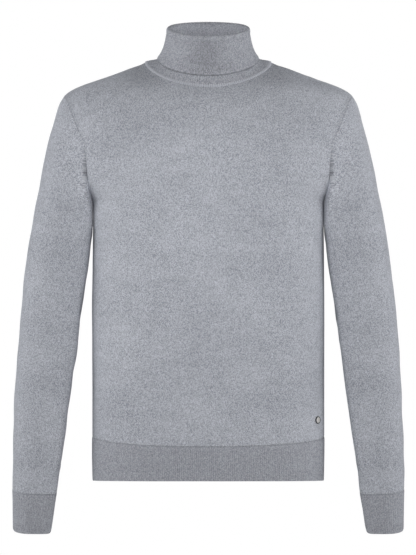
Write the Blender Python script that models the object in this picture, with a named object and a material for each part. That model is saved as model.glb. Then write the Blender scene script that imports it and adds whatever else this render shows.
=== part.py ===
"""A roll-neck sweater of fine knitted cloth, hollow and filled out as it hangs on its wearer.

Metres, +Z up, +X the wearer's left, -Y the front. The origin is at the wearer's neck base: the middle of
the shoulder line, level with the points where the shoulders meet the collar. Every piece is a cloth wall:
an outer sheet of points worked out from the garment's sections, and an inner sheet one wall inside it.
The front and the back meet in the plane y = 0, which holds the side seams and the shoulder seams.
"""

from math import acos, cos, degrees, pi, radians, sin

import bmesh
import bpy
import numpy as np
from mathutils import Matrix

MM = 0.001

# Cloth and seams
JERSEY_WALL = 1.5 * MM
RIB_WALL = 2.0 * MM
SEAM_GAP = 0.3 * MM
HALF_GAP = SEAM_GAP / 2

# Heights of the seams, measured down from the shoulder's neck point
UNDERARM_Z = -225 * MM
SHOULDER_TIP_Z = -58 * MM
HEM_Z = -664 * MM
HEM_SEAM_SIDE_Z = -597 * MM
HEM_SEAM_DIP = 13 * MM  # the rib's top edge is this much lower in the middle of the front and the back

# Sections of the body, from the hem up: half width, depth in front of and behind the side seam, and how
# square the section is (2 is an ellipse). Above the underarm a section runs on under the sleeve.
TORSO = {
    "z":          [-664, -600, -450, -330, -270, -240, -225, -207, -190, -172, -150, -130, -112],
    "half_width": [182.4, 183.2, 183.2, 182.8, 182.2, 181.8, 181.9, 193.5, 205, 214.5, 222.5, 229, 235],
    "front":      [105, 107, 110, 114, 118, 120, 121, 122, 121.5, 120, 116.5, 112.5, 108],
    "back":       [101, 100, 96, 98, 104, 107, 108, 110, 112, 113, 113.5, 112, 109.5],
    "square":     [3.3, 3.3, 3.4, 3.5, 3.6, 3.7, 3.7, 3.7, 3.6, 3.4, 3.2, 2.9, 2.7],
}
SHOULDERS = {
    "z":          [-96, -82, -70, -58, -50.5, -44.2, -38, -31.6, -25.3, -19, -12.6, -7, -4],
    "half_width": [237.5, 236.5, 233.8, 228.2, 220.6, 210, 195.6, 177.4, 158.8, 141.2, 123.8, 106.2, 96.4],
    "front":      [103.5, 97.5, 91.5, 84.5, 79, 74, 68.5, 62, 55, 47, 38.5, 31, 27],
    "back":       [106, 102, 97.5, 91.5, 87, 82.5, 77.5, 71, 64, 56, 47.5, 39.5, 35],
    "square":     [2.5, 2.4, 2.3, 2.2, 2.2, 2.2, 2.2, 2.2, 2.2, 2.2, 2.2, 2.2, 2.2],
}

# The armhole is a ring round this middle height, from the shoulder tip, 0 degrees, to the underarm, 180. At each
# turn it is part of an oval that reaches this far in front and behind, so its foot is squarer than its top.
ARMHOLE_MIDDLE_Z = (UNDERARM_Z + SHOULDER_TIP_Z) / 2
ARMHOLE_HALF_HEIGHT = (SHOULDER_TIP_Z - UNDERARM_Z) / 2
ARMHOLE = {
    "turn":  [0, 45, 90, 135, 180],
    "front": [76, 70, 83, 102, 145],
    "back":  [80, 74, 81, 94, 135],
}

# The neckline seam, where the collar is linked on
NECK = {"half_width": 96.4, "front": 78, "back": 60, "side_z": -4, "front_z": -41, "back_z": 10, "low": 1}

# Rings down the sleeve, by the distance run along the arm. A ring goes through its outer and its inner point;
# mid_y is how far the arm hangs back, square how square the ring's outer half is and tight how square the half
# that faces the body is, and dip how much lower its front hangs than its sides.
SLEEVE = {
    "run":     [0, 9, 24, 44, 74, 112, 155, 200, 236, 298, 362, 425, 488, 551, 596, 662],
    "outer_x": [228.2, 234.2, 241.3, 247.4, 256, 263.6, 273, 281.6, 287.4, 294.4, 300, 303.8, 306.9, 308.8, 309.5, 308.6],
    "outer_z": [-58, -68, -88, -110, -146, -185, -233, -279, -316, -379, -442, -506, -569, -632, -677, -741],
    "inner_x": [181.9, 183, 183, 183, 183, 183.4, 185.8, 187.4, 189.8, 198.2, 206.4, 215.2, 223.8, 232.5, 239, 248.8],
    "inner_z": [-225, -229, -236, -245, -258, -273, -290, -306, -327, -384, -444, -506, -569, -632, -677, -741],
    "front":   [83, 83, 82, 79, 74, 68.5, 64.5, 61.5, 59, 55.5, 52, 48.5, 44.5, 39.5, 35.5, 29.5],
    "back":    [81, 80.5, 79, 76, 71.5, 66.5, 62.5, 59.5, 57, 53.5, 50, 46.5, 42.5, 38.5, 35, 29.5],
    "mid_y":   [0, 1, 3, 5, 6, 6, 6, 6, 6, 5.5, 5, 4, 3, 2, 1, 0],
    "square":  [2.3, 2.35, 2.45, 2.6, 2.75, 2.9, 3, 3, 3, 3, 2.95, 2.9, 2.8, 2.65, 2.5, 2.35],
    "tight":   [2.3, 2.4, 2.7, 3.2, 3.8, 4.6, 5.4, 6, 6.3, 6.5, 6.5, 6.4, 6.2, 5.8, 5.2, 4],
    "dip":     [0, 0, 0, 0, 0, 0, 0, 0, 1, 2, 4, 6, 7.5, 8.5, 9, 7.5],
}
ARMHOLE_FADE = 70 * MM  # past this run a sleeve ring no longer follows the armhole's own curve
CUFF_SEAM_RUN = 596 * MM
CUFF_END_RUN = 662 * MM

# The collar's cloth, as rings through the middle of its wall: up the stand, over the roll, down the fold
COLLAR = {
    "half_width": [95.9, 89, 83, 78.6, 70.4, 65.8, 62.9, 61.8, 62, 63.3, 64.6, 65.2, 65.6, 67.2, 70.2, 75.6, 81.4],
    "front":      [77.3, 75, 72.4, 69.6, 67.3, 66, 65.6, 65.8, 66.2, 67.6, 69, 69.6, 69.9, 70.4, 71.5, 73.2, 75.2],
    "back":       [59.4, 58.8, 58, 56.6, 54.6, 52.2, 49.8, 48.9, 49.2, 50.5, 51.9, 52.6, 53, 54.6, 57, 60.2, 63.4],
    "side_z":     [-4.8, -3.6, -2.2, 0.8, 13, 26, 39.5, 46.4, 48.9, 50, 48.8, 46.2, 41.6, 33, 21.4, 10, 2],
    "front_z":    [-41.6, -35.4, -28.6, -20.6, -6.6, 9.5, 25.4, 32.6, 35, 36.1, 34.9, 32.4, 28, 19, 6, -9.6, -26],
    "back_z":     [9.4, 12, 15.2, 20.8, 31, 42.2, 52, 57, 59.2, 60.3, 59.1, 56.6, 52.6, 45, 35, 25.4, 17.4],
    "low":        [1, 0.95, 0.85, 0.7, 0.4, 0.15, 0, 0, 0, 0, 0, 0, 0, 0.05, 0.2, 0.4, 0.6],
}
LINKING_BEAD = 0.7 * MM  # how far the linked edge stands proud of the stand

# The metal tag on the wearer's left, above the hem
TAG_WIDTH, TAG_HEIGHT, TAG_THICK = 14 * MM, 12 * MM, 1.6 * MM
TAG_RIM = 1.6 * MM
TAG_X, TAG_Z = 172 * MM, -568 * MM

# Steps of the sheets
SHOULDER_COLUMNS, NECK_COLUMNS = 5, 9  # of half a panel, ending at the shoulder seam and at the neckline
BODY_ROWS, ARMHOLE_ROWS, HEM_ROWS = 7, 11, 2
SLEEVE_COLUMNS = 2 * ARMHOLE_ROWS  # pieces that meet share the points of their seam
COLLAR_COLUMNS = 4 * NECK_COLUMNS

# Colours as linear red, green, blue
JERSEY_GREY = (0.38, 0.39, 0.43)
RIB_GREY = (0.26, 0.27, 0.295)
GUNMETAL = (0.12, 0.12, 0.125)


def eased(table, key, at, by):
    """A table's column where its column `by` has the value `at`: a cubic that never overshoots."""
    xs, ys = np.asarray(table[by], float), np.asarray(table[key], float)
    step, slope = np.diff(xs), np.diff(ys) / np.diff(xs)
    middle = np.zeros(len(xs))
    same_way = slope[:-1] * slope[1:] > 0
    weight_a, weight_b = 2 * step[1:] + step[:-1], step[1:] + 2 * step[:-1]
    safe_a, safe_b = np.where(same_way, slope[:-1], 1), np.where(same_way, slope[1:], 1)
    middle[1:-1] = np.where(same_way, (weight_a + weight_b) / (weight_a / safe_a + weight_b / safe_b), 0)
    middle[0], middle[-1] = slope[0], slope[-1]
    i = int(np.clip(np.searchsorted(xs, at) - 1, 0, len(step) - 1))
    t, h = (at - xs[i]) / step[i], step[i]
    return float(
        ys[i] * (1 + 2 * t) * (1 - t) ** 2 + middle[i] * h * t * (1 - t) ** 2
        + ys[i + 1] * t * t * (3 - 2 * t) - middle[i + 1] * h * t * t * (1 - t)
    )


BODY = {key: TORSO[key] + SHOULDERS[key] for key in TORSO}


def section(z):
    """Half width, front depth, back depth and squareness of the body at height z."""
    at = min(max(z / MM, BODY["z"][0]), BODY["z"][-1])
    width, front, back = (eased(BODY, key, at, "z") * MM for key in ("half_width", "front", "back"))
    return width, front, back, eased(BODY, "square", at, "z")


def body_point(side, angle, z):
    """A point of the body's skin: side is -1 in front and 1 behind, angle 0 at the side and 90 degrees at the middle."""
    width, front, back, square = section(z)
    c, s = abs(cos(angle)), abs(sin(angle))
    reach = (c**square + s**square) ** (1 / square)
    return np.array([width * cos(angle) / reach, side * (front if side < 0 else back) * s / reach, z])


def body_angle(side, z, y=None, x=None):
    """The angle of the skin's point at this height with the given depth y or width x."""
    width, front, back, square = section(z)
    if y is not None:
        depth = min(abs(y) / (front if side < 0 else back), 1.0)
        return float(np.arctan2(depth, (1 - depth**square) ** (1 / square)))
    across = min(abs(x) / width, 1.0)
    return float(np.arctan2((1 - across**square) ** (1 / square), across))


def armhole_reach(side, turn):
    """How far the armhole's oval reaches in front (side -1) or behind (side 1) at this turn."""
    return eased(ARMHOLE, "front" if side < 0 else "back", degrees(acos(cos(turn))), "turn") * MM


def armhole_point(turn):
    """The armhole seam: turn 0 at the shoulder tip, a quarter in front, a half at the underarm."""
    z = ARMHOLE_MIDDLE_Z + ARMHOLE_HALF_HEIGHT * cos(turn)
    side = -1 if sin(turn) >= 0 else 1
    y = -armhole_reach(side, turn) * sin(turn)
    x = body_point(side, body_angle(side, z, y=y), z)[0]
    return np.array([x, y, z])


def armhole_frame(turn):
    """Two unit vectors on the armhole seam: into the garment, and across the seam towards the sleeve."""
    along = armhole_point(turn + 1e-3) - armhole_point(turn - 1e-3)
    along /= np.linalg.norm(along)
    inward = np.array([0, 0, ARMHOLE_MIDDLE_Z]) - armhole_point(turn)
    inward[0] = 0
    inward -= along * (inward @ along)
    inward /= np.linalg.norm(inward)
    across = np.cross(along, inward)
    return inward, across * np.sign(across[0])


def ring_height(side_z, front_z, back_z, low, lean):
    """The height on a leaning ring: lean is 1 at its front, 0 at its sides and -1 at its back.

    low is how far the ring stays down behind its sides before it climbs to the back, from 0 to 1.
    """
    slope = (front_z - back_z) / 2
    if lean >= 0:
        return side_z + slope * lean + (front_z - side_z - slope) * lean**2
    climb = 1 - low + low * (1 + lean) ** 4
    return side_z + slope * lean * climb + (back_z - side_z + slope * (1 - low)) * lean**2


def neckline_point(turn):
    """The neckline seam: turn 0 at the wearer's left, a quarter in front."""
    lean = sin(turn)
    depth = NECK["front"] if lean >= 0 else NECK["back"]
    z = ring_height(NECK["side_z"], NECK["front_z"], NECK["back_z"], NECK["low"], lean)
    return np.array([NECK["half_width"] * cos(turn), -depth * lean, z]) * MM


def neckline_frame(turn):
    """Two unit vectors on the neckline seam: into the garment, and up the collar."""
    along = neckline_point(turn + 1e-3) - neckline_point(turn - 1e-3)
    up = collar_ring(1, turn) - collar_ring(0, turn)
    inward = np.cross(up, along)
    inward /= np.linalg.norm(inward)
    inward *= -np.sign(inward @ np.array([cos(turn), -sin(turn), 0]))
    return inward, up / np.linalg.norm(up)


def collar_ring(row, turn):
    """A point in the middle of the collar's wall."""
    lean = sin(turn)
    depth = COLLAR["front"][row] if lean >= 0 else COLLAR["back"][row]
    z = ring_height(*(COLLAR[key][row] for key in ("side_z", "front_z", "back_z", "low")), lean)
    return np.array([COLLAR["half_width"][row] * cos(turn), -depth * lean, z]) * MM


def hem_seam_z(side, angle):
    """The rib's top edge, which rises in a long curve to the side seams."""
    c, s = abs(cos(angle)), abs(sin(angle))
    square = section(HEM_SEAM_SIDE_Z)[3]
    across = c / (c**square + s**square) ** (1 / square)
    return HEM_SEAM_SIDE_Z - HEM_SEAM_DIP * max(0.0, 1 - across**2) ** 0.5


SHOULDER_SHARE = SHOULDER_COLUMNS / (SHOULDER_COLUMNS + NECK_COLUMNS)  # of a panel's half top edge
NECK_FADE = 0.45  # how far down a panel's upper part the skin starts to turn up to the neckline
TOP_REACH = 2.6  # how soon the rows below a panel's top edge stop following its corner at the neck
BACK_TOP_Z = -15 * MM  # the skin's height under the nape, before it rises to the neckline


def panel_top(side, across):
    """The angle and height where a column of a panel ends on the skin, and how far its seam lies from there."""
    if across <= SHOULDER_SHARE:
        return np.array([0, SHOULDER_TIP_Z + (NECK["side_z"] * MM - SHOULDER_TIP_Z) * across / SHOULDER_SHARE]), np.zeros(3)
    turn = (across - SHOULDER_SHARE) / (1 - SHOULDER_SHARE) * pi / 2
    seam = neckline_point(-side * turn)
    nape_z = NECK["side_z"] * MM + (BACK_TOP_Z - NECK["side_z"] * MM) * sin(turn)
    z = min(seam[2], nape_z if side > 0 else NECK["side_z"] * MM)
    angle = body_angle(side, z, x=seam[0])
    return np.array([angle, z]), seam - body_point(side, angle, z)


def panel_edge(side, rise):
    """The angle and height of a panel's armhole edge, for a rise of 0 at the underarm to 1 at the shoulder tip."""
    turn = pi * (1 - rise)
    z = ARMHOLE_MIDDLE_Z + ARMHOLE_HALF_HEIGHT * cos(turn)
    return np.array([body_angle(side, z, y=armhole_reach(side, turn) * sin(turn)), z])


def panel_point(side, across, up):
    """A point of the front (side -1) or the back (side 1): across runs from the side seam, 0, to the middle, 1.

    up is 0 at the hem seam, 1 at the underarm and 2 at the shoulder seam and the neckline.
    """
    angle = across * pi / 2
    if up <= 1:
        start = hem_seam_z(side, angle)
        return body_point(side, angle, start + (UNDERARM_Z - start) * up)
    rise = up - 1
    (top, pull), (middle, _) = panel_top(side, across), panel_top(side, 1)
    low_middle, tip = np.array([pi / 2, UNDERARM_Z]), np.array([0, SHOULDER_TIP_Z])
    place = (1 - across) * panel_edge(side, rise) + across * (low_middle + (middle - low_middle) * rise)
    place += (top - (1 - across) * tip - across * middle) * rise**TOP_REACH
    fade = max(0.0, (rise - NECK_FADE) / (1 - NECK_FADE))
    return body_point(side, place[0], place[1]) + pull * fade**2 * (3 - 2 * fade)


def hem_point(side, across, down):
    """A point of the hem rib: down is 0 at its seam and 1 at the hem."""
    angle = across * pi / 2
    start = hem_seam_z(side, angle)
    return body_point(side, angle, start + (HEM_Z - start) * down)


def sleeve_ring(row, turn):
    """A point of the plain ring that one row of the sleeve's sizes gives."""
    square = row["square"] if cos(turn) > 0 else row["tight"]
    reach = (abs(cos(turn)) ** square + abs(sin(turn)) ** square) ** (1 / square)
    lean, out = sin(turn) / reach, (1 + cos(turn) / reach) / 2
    depth = row["front"] if lean >= 0 else row["back"]
    x = row["inner_x"] + (row["outer_x"] - row["inner_x"]) * out
    z = row["inner_z"] + (row["outer_z"] - row["inner_z"]) * out - row["dip"] * lean
    return np.array([x, row["mid_y"] - depth * lean, z]) * MM


def sleeve_point(turn, run):
    """A point of the left sleeve and its cuff: turn 0 at the outside of the arm, a quarter in front."""
    row = {key: eased(SLEEVE, key, run / MM, "run") for key in SLEEVE if key != "run"}
    point = sleeve_ring(row, turn)
    if run < ARMHOLE_FADE:
        first = {key: SLEEVE[key][0] for key in row}
        fade = (1 - run / ARMHOLE_FADE) ** 2 * (1 + 2 * run / ARMHOLE_FADE)
        point += (armhole_point(turn) - sleeve_ring(first, turn)) * fade
    return point


def inward_normals(point_of, us, vs, inside):
    """Unit vectors from the sheet point_of(u, v) to the side where `inside(point)` lies."""
    normals = np.zeros((len(vs), len(us), 3))
    for j, v in enumerate(vs):
        for i, u in enumerate(us):
            low_u, high_u = max(u - 1e-3, us[0]), min(u + 1e-3, us[-1])
            low_v, high_v = max(v - 1e-3, vs[0]), min(v + 1e-3, vs[-1])
            across = (point_of(high_u, v) - point_of(low_u, v)) / (high_u - low_u)
            upward = (point_of(u, high_v) - point_of(u, low_v)) / (high_v - low_v)
            normal = np.cross(across, upward)
            here = point_of(u, v)
            normals[j, i] = normal / np.linalg.norm(normal) * np.sign(normal @ (inside(here) - here))
    return normals


def cloth(name, outer, inner, material, closed):
    """A cloth wall between two sheets of points, rows by columns; closed joins the last column to the first.

    Both sheets split each of their squares along the same diagonal, so that the wall keeps its thickness.
    """
    bm = bmesh.new()
    out, inn = ([[bm.verts.new(p) for p in row] for row in sheet] for sheet in (outer, inner))
    rows, columns = len(outer), len(outer[0])
    spans = columns if closed else columns - 1

    def square(a, b, c, d, other_way=False):
        split = [(b, c, d), (b, d, a)] if other_way else [(a, b, c), (a, c, d)]
        for corners in split:
            bm.faces.new(corners)

    for j in range(rows - 1):
        for i in range(spans):
            k = (i + 1) % columns
            first = np.linalg.norm(outer[j + 1][k] - outer[j][i])
            other_way = np.linalg.norm(outer[j + 1][i] - outer[j][k]) < first
            square(out[j][i], out[j][k], out[j + 1][k], out[j + 1][i], other_way)
            square(inn[j + 1][i], inn[j + 1][k], inn[j][k], inn[j][i], not other_way)
    for i in range(spans):
        k = (i + 1) % columns
        square(out[0][k], out[0][i], inn[0][i], inn[0][k])
        square(out[-1][i], out[-1][k], inn[-1][k], inn[-1][i])
    if not closed:
        for j in range(rows - 1):
            square(out[j][0], out[j + 1][0], inn[j + 1][0], inn[j][0])
            square(out[j + 1][-1], out[j][-1], inn[j][-1], inn[j + 1][-1])
    bmesh.ops.recalc_face_normals(bm, faces=bm.faces)
    mesh = bpy.data.meshes.new(name)
    bm.to_mesh(mesh)
    bm.free()
    mesh.shade_smooth()
    mesh.set_sharp_from_angle(angle=radians(50))
    return placed(name, mesh, material)


def placed(name, mesh, material):
    obj = bpy.data.objects.new(name, mesh)
    mesh.materials.append(material)
    bpy.data.collections[COLLECTION].objects.link(obj)
    return obj


def both_halves(half, side):
    """A panel's full rows from its left half: the right half is mirrored, and both keep half a gap to y = 0."""
    half = np.array(half)
    half[..., 1] = side * np.maximum(side * half[..., 1], HALF_GAP)
    mirrored = half[:, -2::-1] * np.array([-1, 1, 1])
    half[:, -1, 0] = 0
    return np.concatenate([half, mirrored], axis=1)


def body_axis(point):
    """The middle of the body at a point's height, and lower down where the shoulders close over it."""
    return np.array([point[0] * 0.3, 0, min(point[2] - 20 * MM, -110 * MM)])


def panel_acrosses():
    return np.linspace(0, 1, SHOULDER_COLUMNS + NECK_COLUMNS + 1)


def panel(name, side, material):
    """The front or the back: its armhole edges turn their wall to the sleeve's, and its top edge to the collar's."""
    acrosses = panel_acrosses()
    ups = np.concatenate([np.linspace(0, 1, BODY_ROWS, endpoint=False), np.linspace(1, 2, ARMHOLE_ROWS + 1)])
    outer = np.array([[panel_point(side, a, u) for a in acrosses] for u in ups])
    inward = inward_normals(lambda a, u: panel_point(side, a, u), acrosses, ups, body_axis)
    for j, up in enumerate(ups):
        if up >= 1:
            inward[j, 0], across = armhole_frame(-side * pi * (2 - up))
            outer[j, 0] -= across * HALF_GAP
    for i in range(SHOULDER_COLUMNS, len(acrosses)):
        inward[-1, i], up_collar = neckline_frame(-side * (i - SHOULDER_COLUMNS) / NECK_COLUMNS * pi / 2)
        outer[-1, i] -= up_collar * HALF_GAP
    outer[0, :, 2] += HALF_GAP
    inner = outer + inward * JERSEY_WALL
    inner[0, :, 2] = outer[0, :, 2]
    return cloth(name, both_halves(outer, side), both_halves(inner, side), material, closed=False)


def hem_rib(name, side, material):
    acrosses, downs = panel_acrosses(), np.linspace(0, 1, HEM_ROWS + 1)
    outer = np.array([[hem_point(side, a, d) for a in acrosses] for d in downs])
    inward = inward_normals(lambda a, d: hem_point(side, a, d), acrosses, downs, body_axis)
    outer[0, :, 2] -= HALF_GAP
    inner = outer + inward * RIB_WALL
    inner[:, :, 2] = outer[:, :, 2]
    return cloth(name, both_halves(outer, side), both_halves(inner, side), material, closed=False)


def sleeve_tube(name, runs, wall, material, mirror, at_armhole):
    """A stretch of the sleeve as a closed tube, for the wearer's left, or mirrored for the right."""
    turns = np.linspace(0, 2 * pi, SLEEVE_COLUMNS, endpoint=False)
    outer = np.array([[sleeve_point(t, r) for t in turns] for r in runs])
    middle = {round(float(r), 6): np.mean([sleeve_point(t, r) for t in turns], axis=0) for r in runs}
    inward = np.zeros_like(outer)
    for j, run in enumerate(runs):
        step = 1e-4 if j < len(runs) - 1 else -1e-4
        for i, turn in enumerate(turns):
            round_it = sleeve_point(turn + 1e-4, run) - sleeve_point(turn - 1e-4, run)
            down_it = (sleeve_point(turn, run + step) - outer[j, i]) * np.sign(step)
            normal = np.cross(round_it, down_it)
            normal /= np.linalg.norm(normal)
            towards = middle[round(float(run), 6)] - outer[j, i]
            inward[j, i] = normal * (1 if normal @ towards > 0 else -1)
    if at_armhole:
        for i, turn in enumerate(turns):
            into, across = armhole_frame(turn)
            inward[0, i] = into
            outer[0, i] += across * HALF_GAP
    inner = outer + inward * wall
    flip = np.array([-1 if mirror else 1, 1, 1])
    return cloth(name, outer * flip, inner * flip, material, closed=True)


def sleeve_runs():
    """Where the sleeve's rings lie: close together over the cap, then wider apart down the arm."""
    cap = [0, 5, 14, 26, 42, 62, 86, 112, 140, 170, 203]
    return np.array(cap + list(np.linspace(240, 560, 9)) + [CUFF_SEAM_RUN / MM]) * MM


def sleeve_and_cuff(which, mirror, jersey, rib):
    runs = sleeve_runs()
    runs[-1] -= HALF_GAP
    sleeve_tube(f"sleeve_{which}", runs, JERSEY_WALL, jersey, mirror, at_armhole=True)
    cuff_runs = np.linspace(CUFF_SEAM_RUN + HALF_GAP, CUFF_END_RUN, 4)
    sleeve_tube(f"cuff_{which}", cuff_runs, RIB_WALL, rib, mirror, at_armhole=False)


def collar(name, material):
    """The stand, the roll and the turned-down fold as one cloth, with the linked edge standing a little proud."""
    turns = np.linspace(0, 2 * pi, COLLAR_COLUMNS, endpoint=False)
    rows = len(COLLAR["side_z"])
    middle = np.array([[collar_ring(row, turn) for turn in turns] for row in range(rows)])
    round_it = np.roll(middle, -1, axis=1) - np.roll(middle, 1, axis=1)
    along_it = np.gradient(middle, axis=0)
    out = np.cross(round_it, along_it)
    out /= np.linalg.norm(out, axis=2, keepdims=True)
    if out[0, 0, 0] < 0:
        out = -out
    face, lining = middle + out * RIB_WALL / 2, middle - out * RIB_WALL / 2
    face[1] += out[1] * LINKING_BEAD / 2
    for i, turn in enumerate(turns):
        into, up = neckline_frame(turn)
        edge = neckline_point(turn) + up * HALF_GAP
        face[0, i] = edge - into * LINKING_BEAD
        lining[0, i] = edge + into * RIB_WALL
    return cloth(name, face, lining, material, closed=True)


def hem_tag(name, material):
    """A small oval metal plate with a raised rim, sewn flat on the front beside the side seam."""
    angle = body_angle(-1, TAG_Z, x=TAG_X)
    centre = body_point(-1, angle, TAG_Z)
    around = body_point(-1, angle + 1e-3, TAG_Z) - body_point(-1, angle - 1e-3, TAG_Z)
    up = body_point(-1, angle, TAG_Z + MM) - centre
    across, up = around / np.linalg.norm(around), up / np.linalg.norm(up)
    out = np.cross(up, across)
    out *= np.sign(out @ centre) / np.linalg.norm(out)
    across = np.cross(up, out)
    radius = TAG_WIDTH / 2
    well, rim_top = TAG_THICK * 0.62, TAG_THICK
    profile = [
        (0, 0), (radius, 0), (radius, rim_top * 0.7), (radius - 0.3 * TAG_RIM, rim_top),
        (radius - 0.8 * TAG_RIM, rim_top), (radius - TAG_RIM, well), (0, well * 1.1),
    ]
    bm = bmesh.new()
    verts = [bm.verts.new((x, 0, z)) for x, z in profile]
    edges = [bm.edges.new(pair) for pair in zip(verts, verts[1:])]
    bmesh.ops.spin(bm, geom=verts + edges, cent=(0, 0, 0), axis=(0, 0, 1), angle=2 * pi, steps=20)
    bmesh.ops.remove_doubles(bm, verts=bm.verts, dist=0.01 * MM)
    bmesh.ops.recalc_face_normals(bm, faces=bm.faces)
    mesh = bpy.data.meshes.new(name)
    bm.to_mesh(mesh)
    bm.free()
    frame = Matrix([across, up, out]).transposed().to_4x4()
    if frame.to_3x3().determinant() < 0:
        frame = Matrix([-across, up, out]).transposed().to_4x4()
    mesh.transform(frame @ Matrix.Diagonal((1, TAG_HEIGHT / TAG_WIDTH, 1, 1)))
    mesh.shade_smooth()
    mesh.set_sharp_from_angle(angle=radians(35))
    tag = placed(name, mesh, material)
    tag.location = centre + out * SEAM_GAP
    return tag


def material(name, colour, roughness, metallic=0.0):
    made = bpy.data.materials.new(name)
    made.use_nodes = True
    shader = made.node_tree.nodes["Principled BSDF"]
    shader.inputs["Base Color"].default_value = (*colour, 1)
    shader.inputs["Roughness"].default_value = roughness
    shader.inputs["Metallic"].default_value = metallic
    return made


COLLECTION = "turtleneck_sweater"


def main():
    for obj in list(bpy.data.objects):
        bpy.data.objects.remove(obj)
    bpy.context.scene.collection.children.link(bpy.data.collections.new(COLLECTION))
    jersey = material("merino_jersey", JERSEY_GREY, 0.9)
    rib = material("merino_rib", RIB_GREY, 0.9)
    metal = material("gunmetal", GUNMETAL, 0.35, metallic=1.0)
    panel("front", -1, jersey)
    panel("back", 1, jersey)
    hem_rib("hem_rib_front", -1, rib)
    hem_rib("hem_rib_back", 1, rib)
    sleeve_and_cuff("left", False, jersey, rib)
    sleeve_and_cuff("right", True, jersey, rib)
    collar("collar", rib)
    hem_tag("hem_tag", metal)


main()
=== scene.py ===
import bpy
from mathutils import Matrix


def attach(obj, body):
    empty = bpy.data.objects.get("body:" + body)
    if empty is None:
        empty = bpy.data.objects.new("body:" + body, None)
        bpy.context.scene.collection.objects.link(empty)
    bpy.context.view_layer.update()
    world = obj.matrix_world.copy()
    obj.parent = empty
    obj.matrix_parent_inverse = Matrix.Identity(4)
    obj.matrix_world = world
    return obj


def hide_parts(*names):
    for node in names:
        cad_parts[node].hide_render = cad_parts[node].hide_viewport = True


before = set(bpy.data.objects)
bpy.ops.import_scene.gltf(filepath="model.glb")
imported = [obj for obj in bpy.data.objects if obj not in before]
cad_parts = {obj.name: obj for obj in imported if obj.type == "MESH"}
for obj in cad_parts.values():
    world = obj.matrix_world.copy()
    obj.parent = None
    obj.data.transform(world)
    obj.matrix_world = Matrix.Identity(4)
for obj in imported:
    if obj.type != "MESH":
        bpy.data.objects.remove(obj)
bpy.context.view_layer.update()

"""A fine-knit roll-neck sweater, dressed on its solids: every cloth piece is a thin wall of melange merino.

The pieces follow the same sections as the solids, on a finer grid, with the drape, the seams and the ribs
that the solids leave out. Lengths are metres; +X is the wearer's left and -Y the front.
"""

from math import pi

import bmesh
import bpy
import numpy as np
from mathutils import Matrix, Vector

MM = 0.001
RNG_SEED = 11

# Cloth
JERSEY_WALL = 1.4 * MM
RIB_WALL = 1.9 * MM
WALE_PITCH = 1.6 * MM      # one column of jersey stitches
RIB_WALE_PITCH = 1.3 * MM
COURSE_PITCH = 1.2 * MM    # one row of stitches
RIB_DEPTH = 0.34 * MM      # how far a rib stands out of the wall's middle
HEM_RIBS, CUFF_RIBS, COLLAR_RIBS = 168, 62, 150   # on half the hem, round a cuff and round the collar
TUCK_DEPTH, TUCK_WIDTH = 0.7 * MM, 2.2 * MM       # the groove where two panels are linked
SIDE_SEAM, ARMHOLE_SEAM = 0.3, 0.5                # how strong it is along the sides and round the armholes
UNDERARM_TOUCH_Z = -270 * MM                      # the sleeve lies against the body down to here
LEAN_BODY, LEAN_SLEEVE = 1.6 * MM, 2.6 * MM       # how far each moves over to meet the other there
LEAN_AT, LEAN_WIDTH = -54 * MM, 20 * MM           # the cloth that leans most lies this far in front
# How much light the sleeve's fold along the armhole loses, by the height of the seam beside it
FOLD = {"z": [-224, -206, -197, -186, -174, -158, -140], "shade": [0, 0, 0.06, 0.3, 0.4, 0.2, 0]}
FOLD_WIDTH = 8 * MM
# Soft pulls from the underarm over the chest: where they start, their slope and width, and their depth in mm
CHEST_PULLS = (
    (0.150, -0.232, 0.55, 0.011, 1.3),
    (0.156, -0.268, 0.95, 0.010, 0.9),
    (0.160, -0.205, 0.2, 0.010, 0.8),
)
# Creases on the inside of the arm: how far down the sleeve, their slant and width, and their depth in mm
ARM_CREASES = (
    (0.075, 0.030, 0.012, 1.5),
    (0.115, -0.018, 0.012, 1.3),
    (0.270, 0.020, 0.014, 1.0),
    (0.330, -0.025, 0.013, 1.1),
    (0.395, 0.022, 0.014, 0.8),
    (0.548, 0.010, 0.009, 0.9),
    (0.572, -0.008, 0.007, 0.7),
)

# ---------------------------------------------------------------------------------------------------------
# The garment's sections, as in the solids
# ---------------------------------------------------------------------------------------------------------

HALF_GAP = 0.03 * MM
UNDERARM_Z = -225 * MM
SHOULDER_TIP_Z = -58 * MM
HEM_Z = -664 * MM
HEM_SEAM_SIDE_Z = -594.5 * MM
HEM_SEAM_DIP = 15.5 * MM

BODY = {
    "z":          [-664, -600, -450, -330, -270, -240, -225, -207, -190, -172, -150, -130, -112,
                   -96, -82, -70, -58, -51, -45, -39, -32.7, -26.4, -20.1, -13.7, -7.6, -4],
    "half_width": [182.4, 183.2, 183.2, 182.8, 182.2, 181.8, 181.9, 193.5, 205, 214.5, 222.5, 229, 235,
                   237.5, 236.5, 233.8, 228.2, 220.6, 210, 195.6, 177.4, 158.8, 141.2, 123.8, 106.2, 96.4],
    "front":      [105, 107, 110, 114, 118, 120, 121, 122, 121.5, 120, 116.5, 112.5, 108,
                   103.5, 97.5, 91.5, 84.5, 79, 74, 68.5, 62, 55, 47, 38.5, 31, 27],
    "back":       [101, 100, 96, 98, 104, 107, 108, 110, 112, 113, 113.5, 112, 109.5,
                   106, 102, 97.5, 91.5, 87, 82.5, 77.5, 71, 64, 56, 47.5, 39.5, 35],
    "square":     [3.3, 3.3, 3.4, 3.5, 3.6, 3.7, 3.7, 3.7, 3.6, 3.4, 3.2, 2.9, 2.7, 2.5, 2.4,
                   2.3] + [2.2] * 10,
}

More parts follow.
